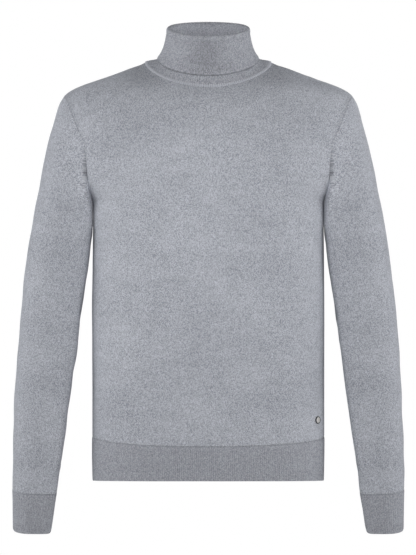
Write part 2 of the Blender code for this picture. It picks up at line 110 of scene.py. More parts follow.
ARMHOLE_MIDDLE_Z = (UNDERARM_Z + SHOULDER_TIP_Z) / 2
ARMHOLE_HALF_HEIGHT = (SHOULDER_TIP_Z - UNDERARM_Z) / 2
ARMHOLE = {
    "turn":  [0, 45, 90, 112, 135, 180],
    "front": [76, 70, 83, 92.5, 106, 145],
    "back":  [80, 74, 81, 87, 94, 135],
}

NECK = {"half_width": 96.4, "front": 78, "back": 60, "side_z": -4, "front_z": -41, "back_z": 10, "low": 1}

SLEEVE = {
    "run":     [0, 9, 24, 44, 74, 112, 155, 200, 236, 298, 362, 425, 488, 551, 596, 662],
    "outer_x": [228.2, 234.2, 241.3, 247.4, 256, 263.6, 273, 281.6, 287.4, 294.4, 300, 303.8, 306.9, 308.8,
                309.5, 308.6],
    "outer_z": [-58, -68, -88, -110, -146, -185, -233, -279, -316, -379, -442, -506, -569, -632, -677, -741],
    "inner_x": [181.9, 183, 183, 183, 183, 183.4, 185.8, 187.4, 189.8, 198.2, 206.4, 215.2, 223.8, 232.5,
                239, 248.8],
    "inner_z": [-225, -229, -236, -245, -258, -273, -290, -306, -327, -384, -444, -506, -569, -632,
                -677, -741],
    "front":   [83, 83, 82, 79, 74, 68.5, 64.5, 61.5, 59, 55.5, 52, 48.5, 44.5, 39.5, 35.5, 29.5],
    "back":    [81, 80.5, 79, 76, 71.5, 66.5, 62.5, 59.5, 57, 53.5, 50, 46.5, 42.5, 38.5, 35, 29.5],
    "mid_y":   [0, 1, 3, 5, 6, 6, 6, 6, 6, 5.5, 5, 4, 3, 2, 1, 0],
    "square":  [2.3, 2.35, 2.45, 2.6, 2.75, 2.9, 3, 3, 3, 3, 2.95, 2.9, 2.8, 2.65, 2.5, 2.35],
    "tight":   [2.3, 2.5, 3, 4, 5.5, 7.5, 9, 10, 10, 10, 10, 10, 10, 9, 8, 6],
    "dip":     [0, 0, 0, 0, 0, 0, 0, 0, 1, 2, 4, 6, 7.5, 8.5, 9, 7.5],
}
ARMHOLE_FADE = 70 * MM
CUFF_SEAM_RUN = 596 * MM
CUFF_END_RUN = 662 * MM

COLLAR = {
    "half_width": [95.9, 89, 83, 78.6, 70.4, 65.8, 62.9, 61.8, 62, 63.3, 64.6, 65.2, 65.6, 67, 69.8, 74.6,
                   80.6],
    "front":      [77.3, 75, 72.4, 69.6, 67.3, 66, 65.6, 65.8, 66.2, 67.6, 69, 69.6, 69.9, 70.4, 71.5, 73.2,
                   75.2],
    "back":       [59.4, 58.8, 58, 56.6, 54.6, 52.2, 49.8, 48.9, 49.2, 50.5, 51.9, 52.6, 53, 54.6, 57, 60.2,
                   63.4],
    "side_z":     [-4.8, -3.6, -2.2, 0.8, 13, 26, 39.5, 46.4, 48.9, 50, 48.8, 46.2, 41.6, 33, 21.4, 9.8, 1.3],
    "front_z":    [-41.6, -35.4, -28.6, -20.6, -6.6, 9.5, 25.4, 32.6, 35, 36.1, 34.9, 32.4, 28, 19, 6, -9.6,
                   -26],
    "back_z":     [9.4, 12, 15.2, 20.8, 31, 42.2, 52, 57, 59.2, 60.3, 59.1, 56.6, 52.6, 45, 35, 25.4, 17.4],
    "low":        [1, 0.95, 0.85, 0.7, 0.4, 0.15, 0, 0, 0, 0, 0, 0, 0, 0.05, 0.2, 0.4, 0.6],
}
# The crease under the roll: how far it lies from the rim down the fold, and its width
ROLL_CREASE_AT, ROLL_CREASE_WIDTH = 4.5 * MM, 1.1 * MM
# In front the fold's lowest stretch lies this much nearer the stand
FOLD_REACH, FOLD_TUCK = 16 * MM, 1.4 * MM
# Rings of the table where its stretches end: under the fold's edge, and at the rim's inside and outside
UNDER_FOLD, RIM_INSIDE, RIM_OUTSIDE = 6, 8, 11
NECK_ROUND = 2 * pi * 64 * MM   # the collar's cloth map is this far round

TAG_WIDTH, TAG_HEIGHT = 14 * MM, 12 * MM


def clip01(value):
    return np.clip(value, 0, 1)


def smooth(value):
    """0 to 1 with a soft start and a soft end."""
    return value**2 * (3 - 2 * value)


def cubic(start, end, slope_start, slope_end, t, span):
    """The cubic between two values and slopes, at the share t of the span."""
    return (
        start * (1 + 2 * t) * (1 - t) ** 2 + slope_start * span * t * (1 - t) ** 2
        + end * t * t * (3 - 2 * t) - slope_end * span * t * t * (1 - t)
    )


def steps(points, axis=0):
    """How far it is from each point to the next along an axis of a grid."""
    return np.linalg.norm(np.diff(points, axis=axis), axis=-1)


def summed(lengths, axis=0):
    """The running sum of lengths along an axis, from nought."""
    start = np.zeros_like(np.take(lengths, [0], axis=axis))
    return np.concatenate([start, np.cumsum(lengths, axis=axis)], axis=axis)


def eased(table, key, at, by):
    """A table's column where its column `by` has the values `at`: a cubic that never overshoots."""
    xs, ys = np.asarray(table[by], float), np.asarray(table[key], float)
    step, slope = np.diff(xs), np.diff(ys) / np.diff(xs)
    middle = np.zeros(len(xs))
    same_way = slope[:-1] * slope[1:] > 0
    weight_a, weight_b = 2 * step[1:] + step[:-1], step[1:] + 2 * step[:-1]
    safe_a, safe_b = np.where(same_way, slope[:-1], 1), np.where(same_way, slope[1:], 1)
    middle[1:-1] = np.where(same_way, (weight_a + weight_b) / (weight_a / safe_a + weight_b / safe_b), 0)
    middle[0], middle[-1] = slope[0], slope[-1]
    at = np.asarray(at, float)
    i = np.clip(np.searchsorted(xs, at) - 1, 0, len(step) - 1)
    return cubic(ys[i], ys[i + 1], middle[i], middle[i + 1], (at - xs[i]) / step[i], step[i])


def section(z):
    at = np.clip(np.asarray(z) / MM, BODY["z"][0], BODY["z"][-1])
    width, front, back = (eased(BODY, key, at, "z") * MM for key in ("half_width", "front", "back"))
    return width, front, back, eased(BODY, "square", at, "z")


def body_point(side, angle, z):
    """Points of the body's skin: side is -1 in front and 1 behind, and angle is 0 at the side seam."""
    width, front, back, square = section(z)
    c, s = np.abs(np.cos(angle)), np.abs(np.sin(angle))
    reach = (c**square + s**square) ** (1 / square)
    depth = np.where(np.asarray(side) < 0, front, back)
    return np.stack(np.broadcast_arrays(width * np.cos(angle) / reach, side * depth * s / reach, z), axis=-1)


def body_angle(side, z, y=None, x=None):
    width, front, back, square = section(z)
    if y is not None:
        depth = np.minimum(np.abs(y) / np.where(np.asarray(side) < 0, front, back), 1.0)
        return np.arctan2(depth, (1 - depth**square) ** (1 / square))
    across = np.minimum(np.abs(x) / width, 1.0)
    return np.arctan2((1 - across**square) ** (1 / square), across)


def armhole_reach(side, turn):
    """How far the armhole's oval reaches in front (side -1) or behind (side 1) at each turn."""
    at = np.degrees(np.arccos(np.clip(np.cos(turn), -1, 1)))
    reach = {key: eased(ARMHOLE, key, at, "turn") for key in ("front", "back")}
    return np.where(np.asarray(side) < 0, reach["front"], reach["back"]) * MM


def armhole_point(turn):
    """The armhole seam: turn 0 at the shoulder tip, a quarter in front, a half at the underarm."""
    turn = np.asarray(turn, float)
    z = ARMHOLE_MIDDLE_Z + ARMHOLE_HALF_HEIGHT * np.cos(turn)
    side = np.where(np.sin(turn) >= 0, -1, 1)
    y = -armhole_reach(side, turn) * np.sin(turn)
    x = body_point(side, body_angle(side, z, y=y), z)[..., 0]
    return np.stack([x, y, z], axis=-1)


def unit(vectors):
    return vectors / np.maximum(np.linalg.norm(vectors, axis=-1, keepdims=True), 1e-12)


def into_armhole(turn):
    """Unit vectors on the armhole seam that point into the garment."""
    along = unit(armhole_point(turn + 1e-3) - armhole_point(turn - 1e-3))
    inward = np.array([0, 0, ARMHOLE_MIDDLE_Z]) - armhole_point(turn)
    inward[..., 0] = 0
    return unit(inward - along * np.sum(inward * along, axis=-1, keepdims=True))


def ring_height(side_z, front_z, back_z, low, lean):
    """Heights on a leaning ring: lean is 1 at its front, 0 at its sides and -1 at its back."""
    slope = (front_z - back_z) / 2
    climb = 1 - low + low * (1 + lean) ** 4
    ahead = side_z + slope * lean + (front_z - side_z - slope) * lean**2
    behind = side_z + slope * lean * climb + (back_z - side_z + slope * (1 - low)) * lean**2
    return np.where(lean >= 0, ahead, behind)


def neckline_point(turn):
    """The neckline seam: turn 0 at the wearer's left, a quarter in front."""
    lean = np.sin(turn)
    depth = np.where(lean >= 0, NECK["front"], NECK["back"])
    z = ring_height(NECK["side_z"], NECK["front_z"], NECK["back_z"], NECK["low"], lean)
    return np.stack([NECK["half_width"] * np.cos(turn), -depth * lean, z], axis=-1) * MM


def collar_rings(turns):
    """The rings through the middle of the collar's wall, rows by turns."""
    lean = np.sin(turns)[None]
    rows = {key: np.array(COLLAR[key], float)[:, None] for key in COLLAR}
    depth = np.where(lean >= 0, rows["front"], rows["back"])
    z = ring_height(rows["side_z"], rows["front_z"], rows["back_z"], rows["low"], lean)
    x = rows["half_width"] * np.cos(turns)[None]
    return np.stack(np.broadcast_arrays(x, -depth * lean, z), axis=-1) * MM


def past_gap(y, side):
    """Keeps a panel's points on their own side of the side seam's gap."""
    return side * np.maximum(side * y, HALF_GAP)


def hem_seam_z(angle):
    c, s = np.abs(np.cos(angle)), np.abs(np.sin(angle))
    square = section(HEM_SEAM_SIDE_Z)[3]
    across = c / (c**square + s**square) ** (1 / square)
    return HEM_SEAM_SIDE_Z - HEM_SEAM_DIP * np.sqrt(np.maximum(1 - across**2, 0))


SHOULDER_SHARE = 5 / 14    # of a panel's half top edge
NECK_FADE = 0.45           # from this share of the rise up, a panel's columns lean to the neckline
TOP_REACH = 2.6
BACK_TOP_Z = -15 * MM


def panel_top(side, across):
    """Where a panel's columns end on the skin, as angle and height, and how far their seam is from there."""
    neck_z = NECK["side_z"] * MM
    share = across / SHOULDER_SHARE
    shoulder = np.stack([np.zeros_like(share), SHOULDER_TIP_Z + (neck_z - SHOULDER_TIP_Z) * share], axis=-1)
    turn = clip01((across - SHOULDER_SHARE) / (1 - SHOULDER_SHARE)) * pi / 2
    seam = neckline_point(-side * turn)
    nape_z = neck_z + (BACK_TOP_Z - neck_z) * np.sin(turn)
    z = np.minimum(seam[..., 2], nape_z if side > 0 else neck_z)
    angle = body_angle(side, z, x=seam[..., 0])
    on_neck = (across > SHOULDER_SHARE)[..., None]
    place = np.where(on_neck, np.stack([angle, z], axis=-1), shoulder)
    return place, np.where(on_neck, seam - body_point(side, angle, z), 0.0)


def panel_edge(side, rise):
    turn = pi * (1 - rise)
    z = ARMHOLE_MIDDLE_Z + ARMHOLE_HALF_HEIGHT * np.cos(turn)
    return np.stack([body_angle(side, z, y=armhole_reach(side, turn) * np.sin(turn)), z], axis=-1)


def panel_point(side, across, up):
    """Points of the front (side -1) or back (side 1): across is 0 at the side seam and 1 in the middle."""
    angle = across * pi / 2
    start = hem_seam_z(angle)
    below = body_point(side, angle, start + (UNDERARM_Z - start) * clip01(up))
    rise = clip01(up - 1)
    (top, pull), (middle, _) = panel_top(side, across), panel_top(side, np.ones(1))
    low_middle, tip = np.array([pi / 2, UNDERARM_Z]), np.array([0, SHOULDER_TIP_Z])
    a, r = across[..., None], rise[..., None]
    place = (1 - a) * panel_edge(side, rise) + a * (low_middle + (middle - low_middle) * r)
    place = place + (top - (1 - a) * tip - a * middle) * r**TOP_REACH
    fade = np.maximum(0.0, (r - NECK_FADE) / (1 - NECK_FADE))
    above = body_point(side, place[..., 0], place[..., 1]) + pull * smooth(fade)
    return np.where((up <= 1)[..., None], below, above)


def sleeve_point(turn, run):
    """Points of the left sleeve and its cuff: turn 0 at the outside of the arm, a quarter in front."""
    turn, run = np.broadcast_arrays(np.asarray(turn, float), np.asarray(run, float))

    def ring(row):
        square = np.where(np.cos(turn) > 0, row["square"], row["tight"]) / MM
        reach = (np.abs(np.cos(turn)) ** square + np.abs(np.sin(turn)) ** square) ** (1 / square)
        lean, out = np.sin(turn) / reach, (1 + np.cos(turn) / reach) / 2
        depth = np.where(lean >= 0, row["front"], row["back"])
        return np.stack([
            row["inner_x"] + (row["outer_x"] - row["inner_x"]) * out,
            row["mid_y"] - depth * lean,
            row["inner_z"] + (row["outer_z"] - row["inner_z"]) * out - row["dip"] * lean,
        ], axis=-1)

    keys = [key for key in SLEEVE if key != "run"]
    point = ring({key: eased(SLEEVE, key, run / MM, "run") * MM for key in keys})
    first = ring({key: SLEEVE[key][0] * MM for key in keys})
    share = clip01(run / ARMHOLE_FADE)[..., None]
    return point + (armhole_point(turn) - first) * (1 - share) ** 2 * (1 + 2 * share)


# ---------------------------------------------------------------------------------------------------------
# Cloth
# ---------------------------------------------------------------------------------------------------------


def gradient(grid, axis, closed):
    if closed:
        return (np.roll(grid, -1, axis=axis) - np.roll(grid, 1, axis=axis)) / 2
    return np.gradient(grid, axis=axis)


def face_normals(grid, closed, outward):
    """Unit vectors off a grid of points, on the side that `outward(points)` mostly points to."""
    normals = unit(np.cross(gradient(grid, 1, closed), gradient(grid, 0, False)))
    return normals * (1 if np.sum(normals * outward(grid)) > 0 else -1)


def spread(first, last, count, fine_first=(), fine_last=()):
    """Even steps from first to last, with extra lines at small distances from either end."""
    near, far = [first + d for d in fine_first], [last - d for d in fine_last]
    clear = 0.35 * ((last - first) / (count - 1))
    low = max(near) + clear if near else -np.inf
    high = min(far) - clear if far else np.inf
    keep = [v for v in np.linspace(first, last, count) if low <= v <= high]
    return np.array(sorted([first] * bool(near) + near + keep + far + [last] * bool(far)))


def waves(points, length, seed, stretch=(1, 1, 1)):
    """Soft, seeded swells of about +-1 over the cloth, `length` long, and longer where stretch is over 1."""
    rng = np.random.default_rng(seed)
    total = np.zeros(points.shape[:-1])
    for k in range(9):
        way = unit(rng.normal(size=3)) / np.array(stretch)
        total += np.sin(points @ way * (2 * pi / length) * rng.uniform(0.7, 1.5) + rng.uniform(0, 2 * pi))
    return total / 3


def walked(grid, across):
    """How far each column of the cloth runs from its first row, less its own sideways drift."""
    drift = np.diff(across, axis=0)
    return summed(np.sqrt(np.maximum(steps(grid) ** 2 - drift**2, 0)))


def placed(name, data):
    """A new object in the scene."""
    made = bpy.data.objects.new(name, data)
    bpy.context.scene.collection.objects.link(made)
    return made


def attribute(mesh, name, kind, values):
    """Writes an attribute of a mesh's points."""
    data = mesh.attributes.new(name, kind, "POINT").data
    data.foreach_set("value" if kind == "FLOAT" else "vector", np.asarray(values, np.float32).reshape(-1))


def cloth_wall(name, outer, inner, uv, closed, materials, seam, out, shade=None, ribs=None):
    """A thin wall between two grids of points, rows by columns, with its cloth map in metres.

    uv has one more column than the points where the wall is closed. The inner grid takes the second material.
    seam is how near each point lies to a linked edge, 0 to 1, and the material darkens the colour by it
    as painted shade; in the collar it holds painted shadow lines at the fold instead. shade is the share of
    light that a fold takes, painted into the colour on the outer and the inner grid, and below nought it is
    painted light; ribs is the rib count that has passed at a column; out is the way that the cloth faces and
    its ribs stand.
    """
    rows, columns = outer.shape[:2]
    spans = columns if closed else columns - 1
    quads, uvs = [], []

    def patch(*corners):
        """Quads with each corner as a row, a column and a grid, 0 for the outer one and 1 for the inner."""
        quads.append(np.stack([(grid * rows + j) * columns + i % columns for j, i, grid in corners], axis=1))
        uvs.append(np.stack([uv[j, i] for j, i, _ in corners], axis=1))

    j, i = (index.ravel() for index in np.meshgrid(np.arange(rows - 1), np.arange(spans), indexing="ij"))
    patch((j, i, 0), (j, i + 1, 0), (j + 1, i + 1, 0), (j + 1, i, 0))
    patch((j + 1, i, 1), (j + 1, i + 1, 1), (j, i + 1, 1), (j, i, 1))
    lining = slice(len(quads[0]), 2 * len(quads[0]))
    i, last = np.arange(spans), rows - 1
    patch((0, i + 1, 0), (0, i, 0), (0, i, 1), (0, i + 1, 1))
    patch((last, i, 0), (last, i + 1, 0), (last, i + 1, 1), (last, i, 1))
    if not closed:
        j, last = np.arange(rows - 1), columns - 1
        patch((j, 0, 0), (j + 1, 0, 0), (j + 1, 0, 1), (j, 0, 1))
        patch((j + 1, last, 0), (j, last, 0), (j, last, 1), (j + 1, last, 1))
    quads, uvs = np.concatenate(quads), np.concatenate(uvs)
    if np.sum(np.cross(outer[:-1, 1] - outer[:-1, 0], outer[1:, 0] - outer[:-1, 0]) * out[:-1, 0]) < 0:
        quads, uvs = quads[:, ::-1], uvs[:, ::-1]
    mesh = bpy.data.meshes.new(name)
    points = np.concatenate([outer.reshape(-1, 3), inner.reshape(-1, 3)])
    mesh.from_pydata(points.tolist(), [], quads.tolist())
    mesh.uv_layers.new(name="cloth_map").data.foreach_set("uv", uvs.reshape(-1))
    attribute(mesh, "seam", "FLOAT", np.stack([seam, seam]))
    if shade is not None:
        attribute(mesh, "shade", "FLOAT", np.stack(shade))
    if ribs is not None:
        attribute(mesh, "rib_count", "FLOAT", np.stack([ribs, ribs]))
        attribute(mesh, "face_way", "FLOAT_VECTOR", np.stack([out, out]))
    for material in materials:
        mesh.materials.append(material)
    which = np.zeros(len(quads), dtype=np.int32)
    which[lining] = len(materials) - 1
    mesh.polygons.foreach_set("material_index", which)
    mesh.shade_smooth()
    mesh.validate()
    return placed(name, mesh)


def both_halves(half):
    return np.concatenate([half, half[:, -2::-1] * np.array([-1, 1, 1])], axis=1)


def mirror_columns(half, sign=1):
    return np.concatenate([half, sign * half[:, -2::-1]], axis=1)


def tuck(distance):
    """How deep a linked seam pulls the cloth in, at a distance from it."""
    return np.exp(-(distance / TUCK_WIDTH) ** 2 * 1.6)


def leaning(points):
    """Where the sleeve and the body lie against each other, below the underarm: 1 there and 0 elsewhere."""
    y, z = points[..., 1], points[..., 2]
    rise = clip01((z - UNDERARM_TOUCH_Z) / (9 * MM)) * clip01((UNDERARM_Z + 24 * MM - z) / (10 * MM))
    return smooth(rise) * np.exp(-((y - LEAN_AT) / LEAN_WIDTH) ** 2)


def yoke_shade(from_side, up):
    """The shade on a panel beside the sleeve head, which stands proud: broadest at the shoulder tip."""
    rise = clip01((up - 1.5) / 0.5)
    width = (4 + 9 * rise**1.5) * MM
    return (0.08 + 0.18 * rise) * np.minimum(rise * 4, 1) * np.exp(-(from_side / width) ** 1.5)


def turned_shade(points):
    """The shade on the strip of a panel that turns under the arm, above the side seam's top."""
    x, z = np.abs(points[..., 0]) / MM, points[..., 2] / MM
    return 0.06 * clip01((x - 180.5) / 2) * clip01((-180 - z) / 14) * clip01((z + 232) / 6)


def shoulder_shade(points):
    """The shade on a panel where it slopes away beside the neck, and the fainter one over its upper chest."""
    x, z = np.abs(points[..., 0]) / MM, points[..., 2] / MM
    slope = 0.14 * clip01((z + 54) / 26) * clip01((x - 50) / 30) * clip01((148 - x) / 36)
    return slope + 0.07 * clip01((z + 135) / 60) * clip01((160 - x) / 40)


def painted_fold_light(away, z):
    """Painted light at the shallow end of the armhole's fold: a shade below nothing, which lightens the
    colour.
    """
    depth = clip01((z / MM + 228) / 8) * clip01((-184 - z / MM) / 10)
    return -0.5 * depth * np.exp(-(away / (4 * MM)) ** 2)


def fold_shade(points):
    """Painted shade on the left sleeve's fold along its armhole, and painted light at the fold's shallow end.
    """
    seam = armhole_point(np.linspace(-pi, pi, 240))
    away = np.linalg.norm(points[..., None, :] - seam, axis=-1)
    z, away = seam[np.argmin(away, axis=-1), 2], away.min(axis=-1)
    strength = np.interp(z / MM, FOLD["z"], FOLD["shade"])
    return strength * np.exp(-(away / FOLD_WIDTH) ** 3) + painted_fold_light(away, z)


def panel_grid(side):
    """The half grid of a panel: how far across and up its lines lie."""
    acrosses = spread(0, 1, 64, fine_first=[0.003, 0.007, 0.013])
    lower = spread(0, 1, 84, fine_first=[0.003, 0.008])
    upper = spread(1, 2, 68, fine_last=[0.006, 0.016])[1:]
    return np.meshgrid(acrosses, np.concatenate([lower, upper]))


def section_arc(side, points):
    """How far along its own section each point of the body lies from the middle."""
    z = points[..., 2]
    end = body_angle(side, z, x=points[..., 0])
    share = np.linspace(0, 1, 25)
    angles = pi / 2 + (end[..., None] - pi / 2) * share
    line = body_point(side, angles, np.broadcast_to(z[..., None], angles.shape))
    return steps(line, -2).sum(axis=-1)


def panel(name, side, materials):
    across, up = panel_grid(side)
    half = panel_point(side, across, up)
    half[..., 1] = past_gap(half[..., 1], side)
    half[:, -1, 0] = 0
    arc = section_arc(side, half)

    def away(grid):
        x, z = grid[..., 0], grid[..., 2]
        return grid - np.stack([x * 0.3, 0 * x, np.minimum(z - 0.02, -0.11)], axis=-1)

    grid = both_halves(half)
    out = face_normals(grid, False, away)
    v = mirror_columns(half[0, :, 2][None] + walked(half, arc))
    uv = np.stack([mirror_columns(arc, -1), v], axis=-1)

    # Distances to the linked edges, measured over the cloth
    from_side, from_hem = summed(steps(half, 1), 1), summed(steps(half))
    from_top = from_hem[-1:] - from_hem
    at_armhole = ARMHOLE_SEAM * np.clip((2 - up) / 0.3, 0.25, 1) * np.clip((up - 1.12) / 0.2, 0.1, 1)
    at_side = tuck(from_side) * np.where(up <= 1, SIDE_SEAM, at_armhole)
    seam = mirror_columns(np.maximum(np.maximum(at_side, tuck(from_hem) * 0.6), tuck(from_top) * 0.35))

    height, x = grid[..., 2], np.abs(grid[..., 0])
    to_edge = np.minimum(from_side / 2, np.minimum(from_hem, from_top))
    hold = smooth(clip01(mirror_columns(to_edge) / (30 * MM)))
    swell = 0.9 * MM * waves(grid, 0.16, 3 + side, stretch=(1, 1, 1.9))
    swell = swell + 0.5 * MM * waves(grid, 0.07, 8 + side, stretch=(1, 1, 1.4))
    for start_x, start_z, slope, width, depth in CHEST_PULLS:
        line = (height - start_z) - slope * (start_x - x) * 0.6
        along = clip01((x - 0.085) / 0.05) * clip01((0.179 - x) / 0.02)
        swell -= depth * MM * np.exp(-(line / width) ** 2) * along
    # beside the sleeve the cloth lies still, and its flank leans against the sleeve
    swell *= 1 - 0.8 * clip01((x - 0.160) / 0.014) * clip01((height + 0.300) / 0.02)
    grid = grid + out * (swell * hold)[..., None]
    grid = grid - out * (TUCK_DEPTH * seam * 0.9)[..., None]
    beside = clip01((np.abs(grid[..., 0]) - 0.150) / 0.015) * clip01(mirror_columns(from_side) / (10 * MM))
    grid[..., 0] += np.sign(grid[..., 0]) * LEAN_BODY * leaning(grid) * beside
    out = face_normals(grid, False, away)

    inward = -out
    rises = np.where(up[:, 0] >= 1)[0]
    into = into_armhole(-side * pi * (2 - up[rises, 0]))
    inward[rises, 0] = into
    inward[rises, -1] = into * np.array([-1, 1, 1])
    inner = grid + inward * JERSEY_WALL
    inner[:, (0, -1), 1] = past_gap(inner[:, (0, -1), 1], side)
    # painted shade beside the sleeve head, under the arm and over the shoulders, and painted light at the
    # armhole's fold
    shade = np.maximum(yoke_shade(from_side, up), turned_shade(half)) + shoulder_shade(half)
    shade = mirror_columns(shade + (up > 1) * painted_fold_light(from_side, half[..., 2]))
    return cloth_wall(name, grid, inner, uv, False, materials, seam, out, shade=(shade, 0 * shade))


def hem_rib(name, side, materials):
    acrosses = np.linspace(0, 1, 2 * HEM_RIBS + 1)
    downs = spread(0, 1, 11, fine_first=[0.02, 0.05], fine_last=[0.012, 0.03])
    across, down = np.meshgrid(acrosses, downs)
    # even ribs: equal steps along the section
    angle = np.linspace(0, pi / 2, 4000)
    walk = summed(steps(body_point(side, angle, np.full(4000, HEM_SEAM_SIDE_Z))))
    angle = np.interp(across * walk[-1], walk, angle)
    start = hem_seam_z(angle)
    half = body_point(side, angle, start + (HEM_Z - start) * down)
    half[..., 1] = past_gap(half[..., 1], side)
    half[:, -1, 0] = 0
    half[0, :, 2] -= HALF_GAP
    grid = both_halves(half)
    out = face_normals(grid, False, lambda points: points * np.array([1, 1, 0]))
    from_side, from_top = across * walk[-1], start - half[..., 2]
    uv = np.stack([mirror_columns((1 - across) * walk[-1], -1), mirror_columns(half[..., 2])], axis=-1)
    loose = mirror_columns(clip01(down * 2) * clip01(across * 30))
    swell = 0.7 * MM * waves(grid, 0.11, 21 + side, stretch=(1, 1, 3)) * loose
    seam = mirror_columns(np.maximum(tuck(from_top) * 0.45, tuck(from_side) * 0.5))
    edge = mirror_columns(clip01((down - 0.93) / 0.07))
    grid = grid + out * (swell - TUCK_DEPTH * seam * 0.8 - 0.2 * MM * edge**2)[..., None]
    inner = grid - out * (RIB_WALL * (1 - 0.45 * edge**3))[..., None]
    inner[:, (0, -1), 1] = past_gap(inner[:, (0, -1), 1], side)
    ribs = mirror_columns(across * HEM_RIBS / 2)
    relief = mirror_columns(clip01(np.minimum(from_side, from_top) / (2 * MM))) * (1 - edge * 0.6)
    piece = cloth_wall(name, grid, inner, uv, False, materials, seam, out * relief[..., None], ribs=ribs)
    return rib_relief(piece, materials)


def sleeve_grid(turns, runs):
    turn, run = np.meshgrid(turns, runs)
    return sleeve_point(turn, run), turn, run


ARM_WAY = np.array([0.118, 0.0, -0.993])   # down the arm: the sleeve's courses lie across it


def tube_map(grid, turns):
    """The sleeve's cloth map: along the arm, and round it from the middle of its outside.

    The columns start at the underarm seam, and that column comes again at the end.
    """
    full = np.concatenate([grid, grid[:, :1]], axis=1)
    along = full @ ARM_WAY
    step, drift = steps(full, 1), np.diff(along, axis=1)
    around = summed(np.sqrt(np.maximum(step**2 - drift**2, (0.25 * step) ** 2)), 1)
    middle = int(np.argmin(np.abs(turns)))
    return around - around[:, middle:middle + 1], along


def sleeve(name, mirror, materials):
    flip = np.array([-1 if mirror else 1, 1, 1])
    count, fine = 92, np.array([0.012, 0.03])
    turns = np.concatenate([[-pi], -pi + fine, np.linspace(-pi, pi, count + 1)[1:-1], pi - fine[::-1]])
    ends = {"fine_first": [0.0008, 0.0018, 0.003], "fine_last": [0.0008, 0.002]}
    runs = spread(0, CUFF_SEAM_RUN - HALF_GAP, 150, **ends)
    grid, turn, run = sleeve_grid(turns, runs)
    centre = grid.mean(axis=1, keepdims=True)
    away = lambda points: points - centre
    out = face_normals(grid, True, away)
    around, along = tube_map(grid, turns)
    uv = np.stack([around, -along], axis=-1)
    from_seam = np.minimum(np.abs(turn + pi), np.abs(turn - pi)) * 0.05
    rise = 1 - np.abs(turn) / pi   # 0 at the underarm and 1 at the shoulder tip
    at_armhole = ARMHOLE_SEAM * np.clip((1 - rise) / 0.3, 0.25, 1) * np.clip((rise - 0.12) / 0.2, 0.1, 1)
    at_ends = np.maximum(tuck(run) * at_armhole, tuck(CUFF_SEAM_RUN - run) * 0.6)
    seam = np.maximum(at_ends, tuck(from_seam * 1.6) * SIDE_SEAM)
    hold = smooth(clip01(np.minimum(run, CUFF_SEAM_RUN - run) / (35 * MM)))
    seed = 40 + mirror
    swell = 0.7 * MM * waves(grid, 0.12, seed, stretch=(1, 1, 1.8))
    swell = swell + 0.45 * MM * waves(grid, 0.055, seed + 3, stretch=(1, 1, 1.2))
    inside = clip01((1 - np.cos(turn)) / 2)
    for at, slant, width, depth in ARM_CREASES:
        line = run - at - slant * np.sin(turn)
        swell -= depth * MM * np.exp(-(line / width) ** 2) * inside**1.5
    # the sleeve may not swell into the body beside it, and leans against it under the arm
    swell = swell * (1 - clip01((0.2 - grid[..., 0]) / 0.012))
    grid = grid + out * (swell * hold)[..., None]
    grid = grid - out * (TUCK_DEPTH * seam * 0.9)[..., None]
    beside = clip01((197 * MM - grid[..., 0]) / (9 * MM)) * clip01(run / (12 * MM))
    grid[..., 0] -= LEAN_SLEEVE * leaning(grid) * beside
    out = face_normals(grid, True, away)
    inward = -out
    inward[0] = into_armhole(turns)
    inner = grid + inward * JERSEY_WALL
    # painted shade along the armhole's fold, and painted light at its shallow end
    shade = fold_shade(grid)
    grid, inner, out = grid * flip, inner * flip, out * flip
    return cloth_wall(name, grid, inner, uv, True, materials, seam, out, shade=(shade, 0 * shade))


def cuff(name, mirror, materials):
    flip = np.array([-1 if mirror else 1, 1, 1])
    dense = np.linspace(-pi, pi, 6000)
    walk = summed(steps(sleeve_point(dense, np.full(6000, CUFF_SEAM_RUN))))
    share = np.linspace(0, 1, 4 * CUFF_RIBS, endpoint=False)
    turns = np.interp(share * walk[-1], walk, dense)
    ends = {"fine_first": [0.001, 0.003], "fine_last": [0.0006, 0.0018]}
    runs = spread(CUFF_SEAM_RUN + HALF_GAP, CUFF_END_RUN, 13, **ends)
    grid, _, run = sleeve_grid(turns, runs)
    centre = grid.mean(axis=1, keepdims=True)
    out = face_normals(grid, True, lambda points: points - centre)
    down = (run - CUFF_SEAM_RUN) / (CUFF_END_RUN - CUFF_SEAM_RUN)
    edge = clip01((down - 0.94) / 0.06)
    seam = tuck(run - CUFF_SEAM_RUN) * 0.45
    swell = 0.6 * MM * waves(grid, 0.06, 60 + mirror, stretch=(1, 1, 3)) * clip01(down * 3)
    grid = grid + out * (swell - TUCK_DEPTH * 0.8 * seam - 0.5 * MM * edge**2)[..., None]
    inner = grid - out * (RIB_WALL * (1 - 0.45 * edge**3))[..., None]
    around = (np.append(share, 1.0) * walk[-1])[None]
    uv = np.stack(np.broadcast_arrays(around, -np.append(run, run[:, :1], axis=1)), axis=-1)
    ribs = np.broadcast_to(share * CUFF_RIBS, run.shape)
    relief = clip01((run - CUFF_SEAM_RUN) / (2 * MM)) * (1 - edge * 0.6)
    grid, inner, out = grid * flip, inner * flip, out * flip * relief[..., None]
    piece = cloth_wall(name, grid, inner, uv, True, materials, seam, out, ribs=ribs)
    return rib_relief(piece, materials)


def smooth_rows(rings, counts):
    """Rings between the given ones, along a smooth curve through each column; counts is how many a span."""
    chord = steps(rings).mean(axis=1)
    knots = summed(chord)
    slopes = np.zeros_like(rings)
    span = np.diff(rings, axis=0) / chord[:, None, None]
    before, after = chord[:-1, None, None], chord[1:, None, None]
    slopes[1:-1] = (span[:-1] * after + span[1:] * before) / (before + after)
    slopes[0], slopes[-1] = span[0], span[-1]
    made, where = [rings[0]], [0.0]
    for k, count in enumerate(counts):
        for t in np.arange(1, count + 1) / count:
            made.append(cubic(rings[k], rings[k + 1], slopes[k], slopes[k + 1], t, chord[k]))
            where.append(knots[k] + chord[k] * t)
    return np.array(made), np.array(where)


